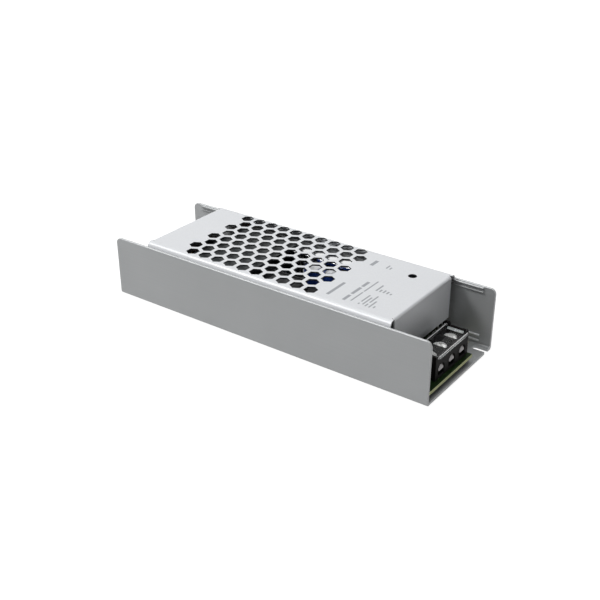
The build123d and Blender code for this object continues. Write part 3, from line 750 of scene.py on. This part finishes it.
def banded_finish(colour):
    """Resistor lacquer with plain colour bands round the body."""
    finish = Finish("Resistor lacquer", Metallic=0.0, IOR=1.5)
    low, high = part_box("resistors")
    along = finish.axes(finish.place)[0]
    grain = finish.group("Fine grain", Place=finish.place, Scale=1500.0)
    tone = finish.mix(grain["Tone"], [c * 0.92 for c in colour], colour)
    for offset, band in RESISTOR_BANDS:
        far = finish.math("SUBTRACT", along, (low.x + high.x) / 2 + offset * MM)
        inside = finish.math("LESS_THAN", finish.math("ABSOLUTE", far), BAND_HALF_WIDTH)
        tone = finish.mix(inside, tone, linear(band))
    finish.set("Base Color", tone)
    finish.set("Roughness", finish.spread(grain["Tone"], 0, 1, 0.3, 0.42))
    finish.bump(grain["Height"], 0.1, 0.03)
    return finish.material


def board_finish(settings):
    """Green solder mask over tracks on both faces, and a pale cut edge whose colour is lightened to near
    white as a painted highlight.
    """
    finish = Finish("Circuit board", Metallic=0.0, IOR=1.5, Specular_IOR_Level=0.25)
    tracks = finish.node("ShaderNodeTexVoronoi", distance="CHEBYCHEV", feature="F1")
    finish.feed(tracks.inputs["Vector"], finish.place)
    finish.feed(tracks.inputs["Scale"], 260.0)
    ring = finish.math("FRACT", finish.math("MULTIPLY", tracks.outputs["Distance"], 3.0))
    track = finish.math("GREATER_THAN", ring, 0.45)
    flat = finish.math("GREATER_THAN", upright(finish), 0.95)
    mask = settings.mask_colour
    green = finish.mix(track, [c * 0.8 for c in mask], [min(c * 1.35, 1) for c in mask])
    grain = finish.group("Fine grain", Place=finish.place, Scale=1800.0)
    # The edge colour carries a painted highlight on the board's cut edge.
    edge = finish.mix(grain["Tone"], [c * 0.94 for c in settings.edge_and_highlight_colour], settings.edge_and_highlight_colour)
    finish.set("Base Color", finish.mix(flat, edge, green))
    finish.set("Roughness", finish.spread(flat, 0, 1, 0.75, 0.28))
    finish.bump(track, 0.2, 0.03)
    return finish.material


def make_finishes():
    """Every finish, by the record's slot."""
    scene = bpy.context.scene
    terminals, parts = scene.supply_terminals, scene.supply_parts
    finishes = sheet_metal_finishes(scene.supply_metal)
    finishes["board"] = board_finish(scene.supply_board)
    finishes["clear"] = clear_finish(terminals.clear_colour)
    # The clear flap's rim gets a pale painted highlight.
    finishes["clear_rim"] = clear_rim_highlight_finish(terminals.clear_colour)
    # Each sleeve's pale stripe is a painted highlight on its lit side: its colour, then the way that side
    # faces.
    for slot, name, colour, painted_sheen, side in (
        ("sleeve_black", "Black sleeve", linear("1A1B1D"), linear("8D9094"), (0, -0.6, 0.8)),
        ("sleeve_blue", "Blue sleeve", parts.sleeve_colour, linear("C9CDD4"), (-0.8, -0.6, 0)),
    ):
        finishes[slot] = sleeve_finish(name, colour, painted_sheen, side)
    finishes["resistor_tan"] = banded_finish(linear("B89A68"))
    # Name, colour, roughness from and to, metallic, grain, contrast, bump and specular level.
    plain = {
        "film": ("Insulating film", linear("C9C7BB"), (0.3, 0.4), 0.0, 1200.0, 0.04, 0.05),
        "terminal_black": (
            "Terminal moulding", terminals.moulding_colour, (0.5, 0.6), 0.0, 4000.0, 0.12, 0.12, 0.05
        ),
        "plated": ("Nickel plate", terminals.screw_colour, (0.22, 0.3), 0.5, 1500.0, 0.03, 0.04),
        "leaf": ("Dull nickel leaf", linear("9C999A"), (0.35, 0.45), 0.4, 1500.0, 0.05, 0.05),
        "tinned": ("Tinned copper", linear("D2D2CF"), (0.35, 0.45), 0.7, 2500.0, 0.07, 0.15),
        "dark_anodised": ("Dark anodised sheet", parts.sink_colour, (0.3, 0.4), 0.6, 3500.0, 0.08, 0.06),
        "bright_aluminium": ("Bright aluminium", linear("E8E9EA"), (0.06, 0.12), 1.0, 2500.0, 0.03, 0.02),
        "package_black": ("Black package resin", linear("1E1E20"), (0.45, 0.6), 0.0, 3500.0, 0.15, 0.2),
        "pad_grey": ("Silicone pad", linear("8F9192"), (0.6, 0.7), 0.0, 2500.0, 0.08, 0.15),
        "steel": ("Zinc plated steel", linear("B9BBBC"), (0.25, 0.4), 1.0, 3000.0, 0.08, 0.1),
        "can": ("Aluminium can", linear("F4F5F6"), (0.25, 0.35), 0.3, 2000.0, 0.03, 0.04),
        "ferrite": ("Sintered ferrite", linear("2A2A2C"), (0.5, 0.65), 0.2, 3000.0, 0.25, 0.3),
        "bobbin_plastic": ("Bobbin moulding", linear("1D1D1E"), (0.4, 0.5), 0.0, 3000.0, 0.1, 0.12),
        "tape": ("Winding tape", parts.tape_colour, (0.25, 0.38), 0.0, 700.0, 0.06, 0.1),
        "copper": ("Enamelled wire", parts.copper_colour, (0.25, 0.35), 0.85, 2500.0, 0.1, 0.06),
        "box_yellow": ("Yellow box", linear("D6B13C"), (0.35, 0.45), 0.0, 2500.0, 0.05, 0.1),
        "dipped_red": ("Dipped resin, dark red", linear("6E1E18"), (0.2, 0.32), 0.0, 600.0, 0.12, 0.25),
        "disc_blue": ("Dipped disc, blue", linear("2D5FA8"), (0.3, 0.42), 0.0, 900.0, 0.1, 0.2),
        "disc_black": ("Dipped disc, black", linear("242426"), (0.4, 0.55), 0.0, 900.0, 0.15, 0.25),
        "ceramic": ("White ceramic", linear("D9D7CF"), (0.4, 0.55), 0.0, 3000.0, 0.04, 0.1),
        "trimmer_blue": ("Trimmer moulding", linear("24519C"), (0.35, 0.45), 0.0, 3000.0, 0.08, 0.1),
        "rotor_white": ("White rotor", linear("DEDDD6"), (0.4, 0.5), 0.0, 3000.0, 0.04, 0.1),
    }
    for slot, values in plain.items():
        finishes[slot] = plain_finish(*values)
    return finishes


FINISHES = {}
SLOTS = {row["node"]: row["material_slot"] for row in frame["record"]["subparts"]}


class SUPPLY_OT_stage(bpy.types.Operator):
    """Set the camera, the pale floor and the soft studio light"""

    bl_idname = "supply.stage"
    bl_label = "Stage"

    def execute(self, context):
        settings = context.scene.supply_stage
        camera_data = bpy.data.cameras.new("Camera")
        camera_data.lens = LENS
        camera_data.sensor_width = SENSOR
        camera_data.clip_start = 0.01
        camera = bpy.data.objects.new("Camera", camera_data)
        camera.location = CAMERA_PLACE
        camera.rotation_euler = Vector(CAMERA_LOOK).to_track_quat("-Z", "Y").to_euler()
        context.scene.collection.objects.link(camera)
        context.scene.camera = camera

        bpy.ops.object.select_all(action="DESELECT")
        bpy.ops.mesh.primitive_plane_add(size=settings.floor_size)
        floor = name_new("floor")
        placed(floor, z=-FLOOR_DROP)
        floor.data.materials.append(self.floor_finish(settings))

        world = bpy.data.worlds.new("Plain surroundings")
        context.scene.world = world
        world.use_nodes = True
        recipe = Recipe(world.node_tree)
        background = world.node_tree.nodes["Background"]
        recipe.feed(background.inputs["Color"], (1, 1, 1))
        strength = recipe.spread(recipe.seen_directly(), 0, 1, settings.sky_level, 1.0)
        recipe.feed(background.inputs["Strength"], strength)

        self.lamp(context, "Key", *KEY_LAMP, settings.key_power)
        self.lamp(context, "Overhead", *TOP_LAMP, settings.top_power)
        context.scene.view_settings.view_transform = "Standard"
        return {"FINISHED"}

    def floor_finish(self, settings):
        material = bpy.data.materials.new("Pale floor")
        material.use_nodes = True
        recipe = Recipe(material.node_tree)
        material.node_tree.nodes.clear()
        place = recipe.node("ShaderNodeTexCoord").outputs["Object"]
        grain = recipe.noise(place, 900.0)
        tone = recipe.mix(grain, (FLOOR_DARK,) * 3, (FLOOR_LIGHT,) * 3)
        pale = recipe.node("ShaderNodeBsdfDiffuse")
        recipe.feed(pale.inputs["Color"], tone)
        faint = recipe.node("ShaderNodeBsdfDiffuse")
        recipe.feed(faint.inputs["Color"], (SHADOW_SHARE,) * 3 if settings.show_shadow else (0, 0, 0))
        glow = recipe.node("ShaderNodeEmission")
        recipe.feed(glow.inputs["Color"], (1, 1, 1))
        away = recipe.node("ShaderNodeVectorMath", operation="LENGTH")
        recipe.feed(away.inputs[0], place)
        near_level = FLOOR_GLOW if settings.show_shadow else 1.0
        glow_level = recipe.spread(away.outputs["Value"], *GLOW_FADE, near_level, 1.0)
        recipe.feed(glow.inputs["Strength"], glow_level)
        seen_floor = recipe.node("ShaderNodeAddShader")
        recipe.feed(seen_floor.inputs[0], faint.outputs[0])
        recipe.feed(seen_floor.inputs[1], glow.outputs[0])
        choice = recipe.node("ShaderNodeMixShader")
        recipe.feed(choice.inputs[0], recipe.seen_directly())
        recipe.feed(choice.inputs[1], pale.outputs[0])
        recipe.feed(choice.inputs[2], seen_floor.outputs[0])
        recipe.feed(recipe.node("ShaderNodeOutputMaterial").inputs["Surface"], choice.outputs[0])
        return material

    def lamp(self, context, name, place, size, power):
        data = bpy.data.lights.new(name, "AREA")
        data.size = size
        data.energy = power
        lamp = bpy.data.objects.new(name, data)
        lamp.location = place
        lamp.rotation_euler = (-Vector(place)).to_track_quat("-Z", "Y").to_euler()
        context.scene.collection.objects.link(lamp)


class SUPPLY_OT_finishes(bpy.types.Operator):
    """Build every material and give each CAD node the finish of its slot"""

    bl_idname = "supply.finishes"
    bl_label = "Finishes"

    def execute(self, context):
        build_groups()
        FINISHES.update(make_finishes())
        for row in frame["record"]["subparts"]:
            dress(row["node"], FINISHES[row["material_slot"]])
        return {"FINISHED"}


class SUPPLY_OT_cover(bpy.types.Operator):
    """Round the cover's sheared edges and the rims of its vents"""

    bl_idname = "supply.cover"
    bl_label = "Cover"

    def execute(self, context):
        cover = softened("vented_cover", "folded_cover", context.scene.supply_metal.cover_edge, 1)
        stand_for(cover, "vented_cover")
        return {"FINISHED"}


class SUPPLY_OT_terminals(bpy.types.Operator):
    """Model the terminal mouldings, the clear flaps and the screws with their recesses"""

    bl_idname = "supply.terminals"
    bl_label = "Screw terminals"

    def execute(self, context):
        settings = context.scene.supply_terminals
        for end in ENDS:
            block = softened(f"{end}_terminal_block", f"{end}_moulding", settings.moulding_edge)
            stand_for(block, f"{end}_terminal_block")
            flap = self.flap(f"{end}_terminal_cover", f"{end}_clear_flap", settings)
            stand_for(flap, f"{end}_terminal_cover", f"{end}_terminal_cover")
            # Its second finish is the painted rim highlight.
            flap.data.materials.append(FINISHES["clear_rim"])
            self.paint_rim_highlight(flap)
        low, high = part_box("output_screw_1")
        pattern = self.screw(settings, (high.x - low.x) / 2 / MM, (high.z - low.z) / MM)
        for end in ENDS:
            for pole, angle in zip(POLES, DRIVER_ANGLES[end]):
                node = f"{end}_screw_{pole}"
                low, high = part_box(node)
                middle = (low + high) / 2 / MM
                screw = another(pattern, f"{end}_terminal_screw_{pole}")
                placed(screw, middle.x, middle.y, high.z / MM, (angle, "Z"))
                smooth(screw, 30)
                stand_for(screw, node, node)
        bpy.data.objects.remove(pattern)
        for end, sign in (("output", 1), ("input", -1)):
            guides = self.guides(end, sign)
            settle(guides, "plated")
            guides.data.materials[0] = FINISHES["leaf"]
        return {"FINISHED"}

    def guides(self, end, sign):
        """Bent leaves in the mouths, which steer a wire under the current bar."""
        front = abs(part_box(f"{end}_terminal_block")[1 if sign > 0 else 0].x) / MM
        leaves = []
        for pole in POLES:
            low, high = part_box(f"{end}_cage_{pole}")
            middle = (low.y + high.y) / 2 / MM
            bpy.ops.object.select_all(action="DESELECT")
            bpy.ops.mesh.primitive_plane_add(size=1)
            leaf = name_new("leaf")
            edit(leaf)
            bpy.ops.transform.resize(value=(LEAF_SIZE[0] * MM, LEAF_SIZE[1] * MM, 1))
            done()
            placed(leaf, front - LEAF_SETBACK, 0, LEAF_HEIGHT)
            edit(leaf)
            for reach, drop in LEAF_BENDS:
                shape = bmesh.from_edit_mesh(leaf.data)
                farthest = max(line.verts[0].co.x + line.verts[1].co.x for line in shape.edges)
                bpy.ops.mesh.select_mode(type="EDGE")
                bpy.ops.mesh.select_all(action="DESELECT")
                for line in shape.edges:
                    line.select_set(line.verts[0].co.x + line.verts[1].co.x > farthest - 1e-6)
                bmesh.update_edit_mesh(leaf.data)
                step = (reach * MM, 0, drop * MM)
                bpy.ops.mesh.extrude_region_move(TRANSFORM_OT_translate={"value": step})
            done()
            thick = leaf.modifiers.new("Sheet", "SOLIDIFY")
            thick.thickness = LEAF_SHEET * MM
            thick.offset = 0
            apply_modifiers(leaf)
            bevel_edges(leaf, LEAF_EDGE * MM)
            smooth(leaf, 50)
            if sign < 0:
                placed(leaf, turn=(180, "Z"))
            leaves.append(placed(leaf, y=middle))
        return joined(leaves, f"{end}_wire_guides")

    def flap(self, node, name, settings):
        """The clear flap, with a skirt down each end inside the ears."""
        parts = [softened(node, name, settings.flap_edge)]
        low, high = (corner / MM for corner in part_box(node))
        outwards = 1 if high.x > 0 else -1
        front = (high.x if outwards > 0 else -low.x) - FLAP_END
        top = high.z - FLAP_HINGE_RISE
        for y in (low.y + FLAP_INSET, high.y - FLAP_INSET):
            skirt = block("skirt", SKIRT_LENGTH, SKIRT_THICKNESS, SKIRT_HEIGHT)
            placed(skirt, outwards * (front - SKIRT_LENGTH / 2), y, top - FLAP_SHEET - SKIRT_DROP)
            bevel_edges(skirt, settings.flap_edge)
            parts.append(skirt)
        return joined(parts, name)

    def paint_rim_highlight(self, flap):
        """Paint a highlight on the skirts' sides and the upper rounded edges of the flap: give them the rim's
        pale finish.
        """
        low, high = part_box(flap.name.replace("clear_flap", "terminal_cover"))
        sign = 1 if high.x > 0 else -1
        hinge = (low.x if sign > 0 else -high.x) + FLAP_END * MM
        middle = high.z - (FLAP_HINGE_RISE + FLAP_SHEET / 2) * MM
        corners = flap.data.vertices
        for face in flap.data.polygons:
            shortest = min((corners[a].co - corners[b].co).length for a, b in face.edge_keys)
            up = face.normal.z
            if sign * face.center.x > hinge:
                narrow = shortest < RIM_WIDTH and face.area < RIM_AREA
                rounded = narrow and 0.8 < up < 0.97 and face.center.z > middle
                pale = rounded or abs(face.normal.y) > 0.5
            else:
                pale = up > 0.8 and sign * face.normal.x > 0.3 and face.area < HINGE_RIM_AREA
            if pale:
                face.material_index = 1

    def screw(self, settings, radius, total):
        """One screw, its head's top at the origin: a domed head, a slot and cross, a threaded shank."""
        dome = settings.dome_rise / MM
        under = -HEAD_HEIGHT
        recess = settings.recess_depth / MM
        rim = radius - 0.2
        head = [(0.0, under), (SHANK, under), (rim, under), (radius, under + 0.2), (radius, -dome - 0.05)]
        head += [(radius * math.cos(a), -dome + dome * math.sin(a)) for a in (0.2, 0.4, 0.65, 0.9, 1.2)]
        head += [(0.0, 0.0)]
        screw = turned("screw_pattern", head, 48)
        slot, cross = 2 * radius + 0.4, 2 * radius * CROSS_SHARE
        cuts = [(slot, SLOT_WIDTH, SLOT_DEPTH)]
        cuts += [(CROSS_WIDTH, cross, CROSS_DEPTH), (cross, CROSS_WIDTH, CROSS_DEPTH)]
        for length, width, depth in cuts:
            cutter = block("driver_cut", length, width, 2 * recess)
            placed(cutter, z=recess - depth)
            cut_away(screw, cutter, "Driver recess")
        bevel_edges(screw, RECESS_EDGE * MM, 2, 40)
        thread = [(0.0, -total), (1.2, -total), (SHANK, -total + 0.25)]
        for i in range(THREAD_TURNS):
            z = -total + 0.3 + i * THREAD_PITCH
            thread += [(SHANK, z), (THREAD_ROOT, z + THREAD_PITCH / 2), (SHANK, z + THREAD_PITCH)]
        thread += [(1.3, under - 0.05), (1.3, under + 0.01), (0.0, under + 0.01)]
        return joined([screw, turned("thread", thread, 32)], "screw_pattern")


class SUPPLY_OT_heat_sinks(bpy.types.Operator):
    """Round the heat sinks' sheared edges and the packages that are screwed to them"""

    bl_idname = "supply.heat_sinks"
    bl_label = "Heat sinks and packages"

    def execute(self, context):
        edge = context.scene.supply_parts.parts_edge
        for node in ("primary_heat_sink", "secondary_heat_sink"):
            stand_for(softened(node, f"{node}_plate", SINK_EDGE * MM), node)
        legs_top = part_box("circuit_board")[1].z / MM + PACKAGE_LEGS
        for node in ("bridge_rectifier", "switching_transistor", "output_diodes"):
            package = softened(node, f"{node}_package", edge)
            stand_for(package, node)
            second_finish(package, "tinned", lambda centre: centre.z < legs_top - 0.1)
        stand_for(softened("transistor_screws", "pan_head_screws", edge), "transistor_screws")
        return {"FINISHED"}


class SUPPLY_OT_boxed_parts(bpy.types.Operator):
    """Round the moulded, boxed and sintered parts on the board"""

    bl_idname = "supply.boxed_parts"
    bl_label = "Boxed parts"

    def execute(self, context):
        edge = context.scene.supply_parts.parts_edge
        for node, width in (
            ("x_capacitor", 2 * edge),
            ("controller_chip", edge / 2),
            ("optocoupler", edge / 2),
            ("transformer_core", edge),
            ("transformer_bobbin", edge / 2),
            ("transformer_winding", edge),
            ("choke_core", 2 * edge),
            ("output_inductor_core", 2 * edge),
            ("trimmer_body", edge),
            ("fuse_caps", edge),
        ):
            stand_for(softened(node, f"{node}_rounded", width), node)
        rotor = softened("trimmer_rotor", "slotted_rotor", edge / 2)
        stand_for(rotor, "trimmer_rotor", "trimmer_rotor")
        return {"FINISHED"}


class SUPPLY_OT_capacitors(bpy.types.Operator):
    """Model the round capacitors: crimped cans with scored tops, in shrunk sleeves"""

    bl_idname = "supply.capacitors"
    bl_label = "Capacitors"

    def execute(self, context):
        low, high = (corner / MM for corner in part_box("output_capacitor_sleeves"))
        radius = (high.y - low.y) / 2
        first, last = low.x + radius, high.x - radius
        places = [(first + i * (last - first) / 3, (low.y + high.y) / 2, low.z) for i in range(4)]
        self.set_of(radius, high.z - low.z, places, None, "output_capacitor", "output")
        low, high = (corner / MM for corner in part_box("bulk_capacitor_sleeves"))
        radius = (high.z - low.z) / 2
        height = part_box("bulk_capacitor_cans")[1].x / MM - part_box("bulk_capacitor_cans")[0].x / MM
        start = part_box("bulk_capacitor_cans")[0].x / MM
        places = [(start, y, (low.z + high.z) / 2) for y in (low.y + radius, high.y - radius)]
        self.set_of(radius, height, places, (90, "Y"), "bulk_capacitor", "bulk")
        return {"FINISHED"}

    def set_of(self, radius, height, places, turn, node, name):
        """Like capacitors, each a can and a sleeve, from its closed end at each place."""
        can = self.can(radius - CAN_GAP, height - CAN_GAP)
        sleeve = self.sleeve(radius, height)
        for pattern, kind in ((can, "cans"), (sleeve, "sleeves")):
            copies = [placed(another(pattern, f"{name}_{kind}"), *place, turn) for place in places]
            piece = joined(copies, f"{name}_{kind}_detailed")
            smooth(piece)
            stand_for(piece, f"{node}_{kind}")
            bpy.data.objects.remove(pattern)

    def can(self, radius, height):
        groove = [(radius, 1.7), (radius - 0.3, 2.0), (radius - 0.3, 2.3), (radius, 2.6)]
        rim = [(radius, height - 0.6), (radius - 0.2, height - 0.15), (radius - 0.55, height)]
        floor = height - CAN_DISH
        dish = [(radius - 0.95, height - 0.05), (radius - 1.15, floor), (0.0, floor)]
        can = turned("can", [(0.0, 0.0), (radius - 0.2, 0.0), (radius, 0.2), *groove, *rim, *dish])
        for angle in (0, 90):
            score = block("score", 2 * (radius - SCORE_END), SCORE_WIDTH, SCORE_DEPTH)
            placed(score, z=floor, turn=(angle + 20, "Z"))
            cut_away(can, score, "Scored vent")
        return can

    def sleeve(self, radius, height):
        inside = radius - SLEEVE_SHEET
        outer = [(inside, 0.15), (radius - 0.05, 0.1), (radius, 0.3), (radius, 1.6), (radius - 0.28, 1.95)]
        outer += [(radius - 0.28, 2.35), (radius, 2.7)]
        outer += [(radius, height - 0.7), (radius - 0.25, height - 0.15)]
        outer += [(radius - 0.6, height), (radius - 1.3, height - 0.02), (radius - 1.35, height - 0.12)]
        inner = [(radius - 0.65, height - 0.2), (inside, height - 0.8), (inside, 2.7), (inside - 0.28, 2.35)]
        inner += [(inside - 0.28, 1.95), (inside, 1.6), (inside, 0.15)]
        return turned("sleeve", outer + inner)


class SUPPLY_OT_dipped_parts(bpy.types.Operator):
    """Model the dipped discs and film capacitor and the banded resistors, on their leads"""

    bl_idname = "supply.dipped_parts"
    bl_label = "Dipped parts and resistors"

    def execute(self, context):
        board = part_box("circuit_board")[1].z / MM
        leads = []
        for node, count, name in (
            ("y_capacitors", 2, "dipped_discs"),
            ("thermistor", 1, "dipped_thermistor"),
        ):
            low, high = (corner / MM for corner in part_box(node))
            radius = (high.z - low.z) / 2
            thick = (high.x - low.x) if count == 1 else DISC_THICKNESS
            xs = [low.x + thick / 2] if count == 1 else [low.x + thick / 2, high.x - thick / 2]
            y = (low.y + high.y) / 2
            profile = [(radius * math.sin(a), -thick / 2 * math.cos(a) ** 0.7) for a in (0.0, 0.5, 0.9, 1.25)]
            profile += [(radius, 0.0)] + [(r, -z) for r, z in reversed(profile)]
            disc = turned("disc", profile, 36)
            copies = [placed(another(disc, name), x, y, (low.z + high.z) / 2, (90, "Y")) for x in xs]
            piece = joined(copies, name)
            smooth(piece, 60)
            stand_for(piece, node)
            bpy.data.objects.remove(disc)
            for x in xs:
                for side in (-DISC_LEAD_REACH, DISC_LEAD_REACH):
                    leads.append(wire("lead", [(x, y + side, low.z + 2), (x, y + side, board)], LEAD))

        low, high = (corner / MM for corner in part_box("film_capacitor"))
        middle = (low + high) / 2
        film = block("dipped_film_capacitor", *(high - low))
        placed(film, *middle)
        bevel_edges(film, FILM_EDGE * MM, 3)
        film.modifiers.new("Dipped coat", "SUBSURF").levels = 1
        film.modifiers["Dipped coat"].render_levels = 1
        apply_modifiers(film)
        smooth(film, 60)
        stand_for(film, "film_capacitor")
        for x in (middle.x - FILM_LEAD_REACH, middle.x + FILM_LEAD_REACH):
            leads.append(wire("lead", [(x, middle.y, low.z + 1), (x, middle.y, board)], FILM_LEAD))

        low, high = (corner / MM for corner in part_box("resistors"))
        length, radius = high.x - low.x, (high.z - low.z) / 2
        half = length / 2
        side = [(0.0, -half), (radius - 0.3, -half), (radius - 0.05, -half + 0.3), (radius, -half + 0.8)]
        side += [(radius - 0.06, -half + 1.4), (radius - 0.2, -half + 1.8)]
        body = turned("resistor", side + [(r, -z) for r, z in reversed(side)], 28)
        x, z = (low.x + high.x) / 2, (low.z + high.z) / 2
        copies = []
        for y in (low.y + radius, low.y + radius + RESISTOR_PITCH, high.y - radius):
            copies.append(placed(another(body, "resistor"), x, y, z, (90, "Y")))
            for end in (-1, 1):
                tip = x + end * (half + 1.4)
                bent = [(x + end * (half - 0.5), y, z), (tip, y, z), (tip, y, z), (tip, y, board)]
                leads.append(wire("lead", bent, LEAD))
        piece = joined(copies, "banded_resistors")
        smooth(piece)
        stand_for(piece, "resistors")
        bpy.data.objects.remove(body)
        settle(joined(leads, "component_leads"), "tinned")
        return {"FINISHED"}


class SUPPLY_OT_board_parts(bpy.types.Operator):
    """Solder small surface parts and pads to the board"""

    bl_idname = "supply.board_parts"
    bl_label = "Surface parts"

    def execute(self, context):
        routed_edge = context.scene.supply_board.routed_edge
        stand_for(softened("circuit_board", "routed_board", routed_edge), "circuit_board")
        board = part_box("circuit_board")[1].z / MM
        bodies, ends, pads = [], [], []
        for x, y, turn in SURFACE_PARTS:
            bodies.append(self.standing(x, y, board, CHIP_BODY, turn, 0.05))
            angle = math.radians(turn)
            for side in (-1, 1):
                for made, reach, size, edge in ((ends, 0.92, CHIP_END, 0.06), (pads, 1.3, CHIP_PAD, 0.08)):
                    end_x = x + side * reach * math.cos(angle)
                    end_y = y + side * reach * math.sin(angle)
                    made.append(self.standing(end_x, end_y, board, size, turn, edge))
        settle(joined(bodies, "surface_part_bodies"), "package_black")
        settle(joined(ends, "surface_part_ends"), "tinned")
        settle(joined(pads, "solder_pads"), "tinned")
        return {"FINISHED"}

    def standing(self, x, y, z, size, turn, edge):
        """One small box that stands on the board, its size in mm."""
        piece = block("block", *size)
        placed(piece, x, y, z + size[2] / 2, (turn, "Z"))
        bevel_edges(piece, edge * MM, 2)
        smooth(piece)
        return piece


class SUPPLY_OT_windings(bpy.types.Operator):
    """Wind the choke and the inductor with real turns of wire"""

    bl_idname = "supply.windings"
    bl_label = "Windings"

    def execute(self, context):
        settings = context.scene.supply_parts
        low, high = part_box("choke_core")
        middle = (low + high) / 2 / MM
        frame_of_choke = Matrix(((0, 0, 1), (1, 0, 0), (0, 1, 0)))
        coils = []
        for start in CHOKE_STARTS:
            coil = self.coil(middle, frame_of_choke, start=start, turns=settings.choke_turns, **CHOKE_COIL)
            coils.append(coil)
        stand_for(joined(coils, "choke_coils"), "choke_windings")
        low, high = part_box("output_inductor_core")
        middle = (low + high) / 2 / MM
        turns = settings.inductor_turns
        coil = self.coil(middle, Matrix.Identity(3), start=INDUCTOR_START, turns=turns, **INDUCTOR_COIL)
        stand_for(joined([coil], "inductor_coil"), "output_inductor_winding")
        return {"FINISHED"}

    def coil(self, middle, axes, outer, bore, depth, wire_diameter, start, sweep, turns):
        """Wire wound through a ring about the third axis of its own frame."""
        gap = wire_diameter / 2
        section = [
            (bore - gap, -depth / 2 + 0.6),
            (bore - gap, depth / 2 - 0.6),
            (bore + 0.1, depth / 2 + gap),
            (outer - 0.1, depth / 2 + gap),
            (outer + gap, depth / 2 - 0.6),
            (outer + gap, -depth / 2 + 0.6),
            (outer - 0.1, -depth / 2 - gap),
            (bore + 0.1, -depth / 2 - gap),
        ]
        points = []
        count = turns * len(section)
        for i in range(count + 1):
            radius, along = section[i % len(section)]
            angle = math.radians(start + sweep * i / count)
            local = Vector((radius * math.cos(angle), radius * math.sin(angle), along))
            points.append(tuple(middle + axes @ local))
        return wire("coil", points, wire_diameter)


class SUPPLY_PT_panel(bpy.types.Panel):
    """The supply's pieces and settings"""

    bl_label = "Power Supply"
    bl_idname = "SUPPLY_PT_panel"
    bl_space_type = "VIEW_3D"
    bl_region_type = "UI"
    bl_category = "Power Supply"

    def draw(self, context):
        for operator in OPERATORS:
            self.layout.operator(operator.bl_idname)
        for holder, group in SETTINGS.items():
            box = self.layout.box()
            for key in group.__annotations__:
                box.prop(getattr(context.scene, holder), key)


OPERATORS = (
    SUPPLY_OT_stage,
    SUPPLY_OT_finishes,
    SUPPLY_OT_cover,
    SUPPLY_OT_terminals,
    SUPPLY_OT_heat_sinks,
    SUPPLY_OT_boxed_parts,
    SUPPLY_OT_capacitors,
    SUPPLY_OT_dipped_parts,
    SUPPLY_OT_board_parts,
    SUPPLY_OT_windings,
)
SETTINGS = {
    "supply_metal": SheetMetalSettings,
    "supply_terminals": TerminalSettings,
    "supply_board": BoardSettings,
    "supply_parts": PartsSettings,
    "supply_stage": StageSettings,
}


def register():
    for group in SETTINGS.values():
        bpy.utils.register_class(group)
    for operator in (*OPERATORS, SUPPLY_PT_panel):
        bpy.utils.register_class(operator)
    for holder, group in SETTINGS.items():
        setattr(bpy.types.Scene, holder, PointerProperty(type=group))


def unregister():
    for holder in SETTINGS:
        delattr(bpy.types.Scene, holder)
    for operator in reversed((*OPERATORS, SUPPLY_PT_panel)):
        bpy.utils.unregister_class(operator)
    for group in reversed(SETTINGS.values()):
        bpy.utils.unregister_class(group)


def main():
    register()
    bpy.ops.object.select_all(action="DESELECT")
    bpy.ops.supply.stage()
    bpy.ops.supply.finishes()
    bpy.ops.supply.cover()
    bpy.ops.supply.terminals()
    bpy.ops.supply.heat_sinks()
    bpy.ops.supply.boxed_parts()
    bpy.ops.supply.capacitors()
    bpy.ops.supply.dipped_parts()
    bpy.ops.supply.board_parts()
    bpy.ops.supply.windings()
    bpy.ops.object.select_all(action="DESELECT")


if __name__ == "__main__":
    main()
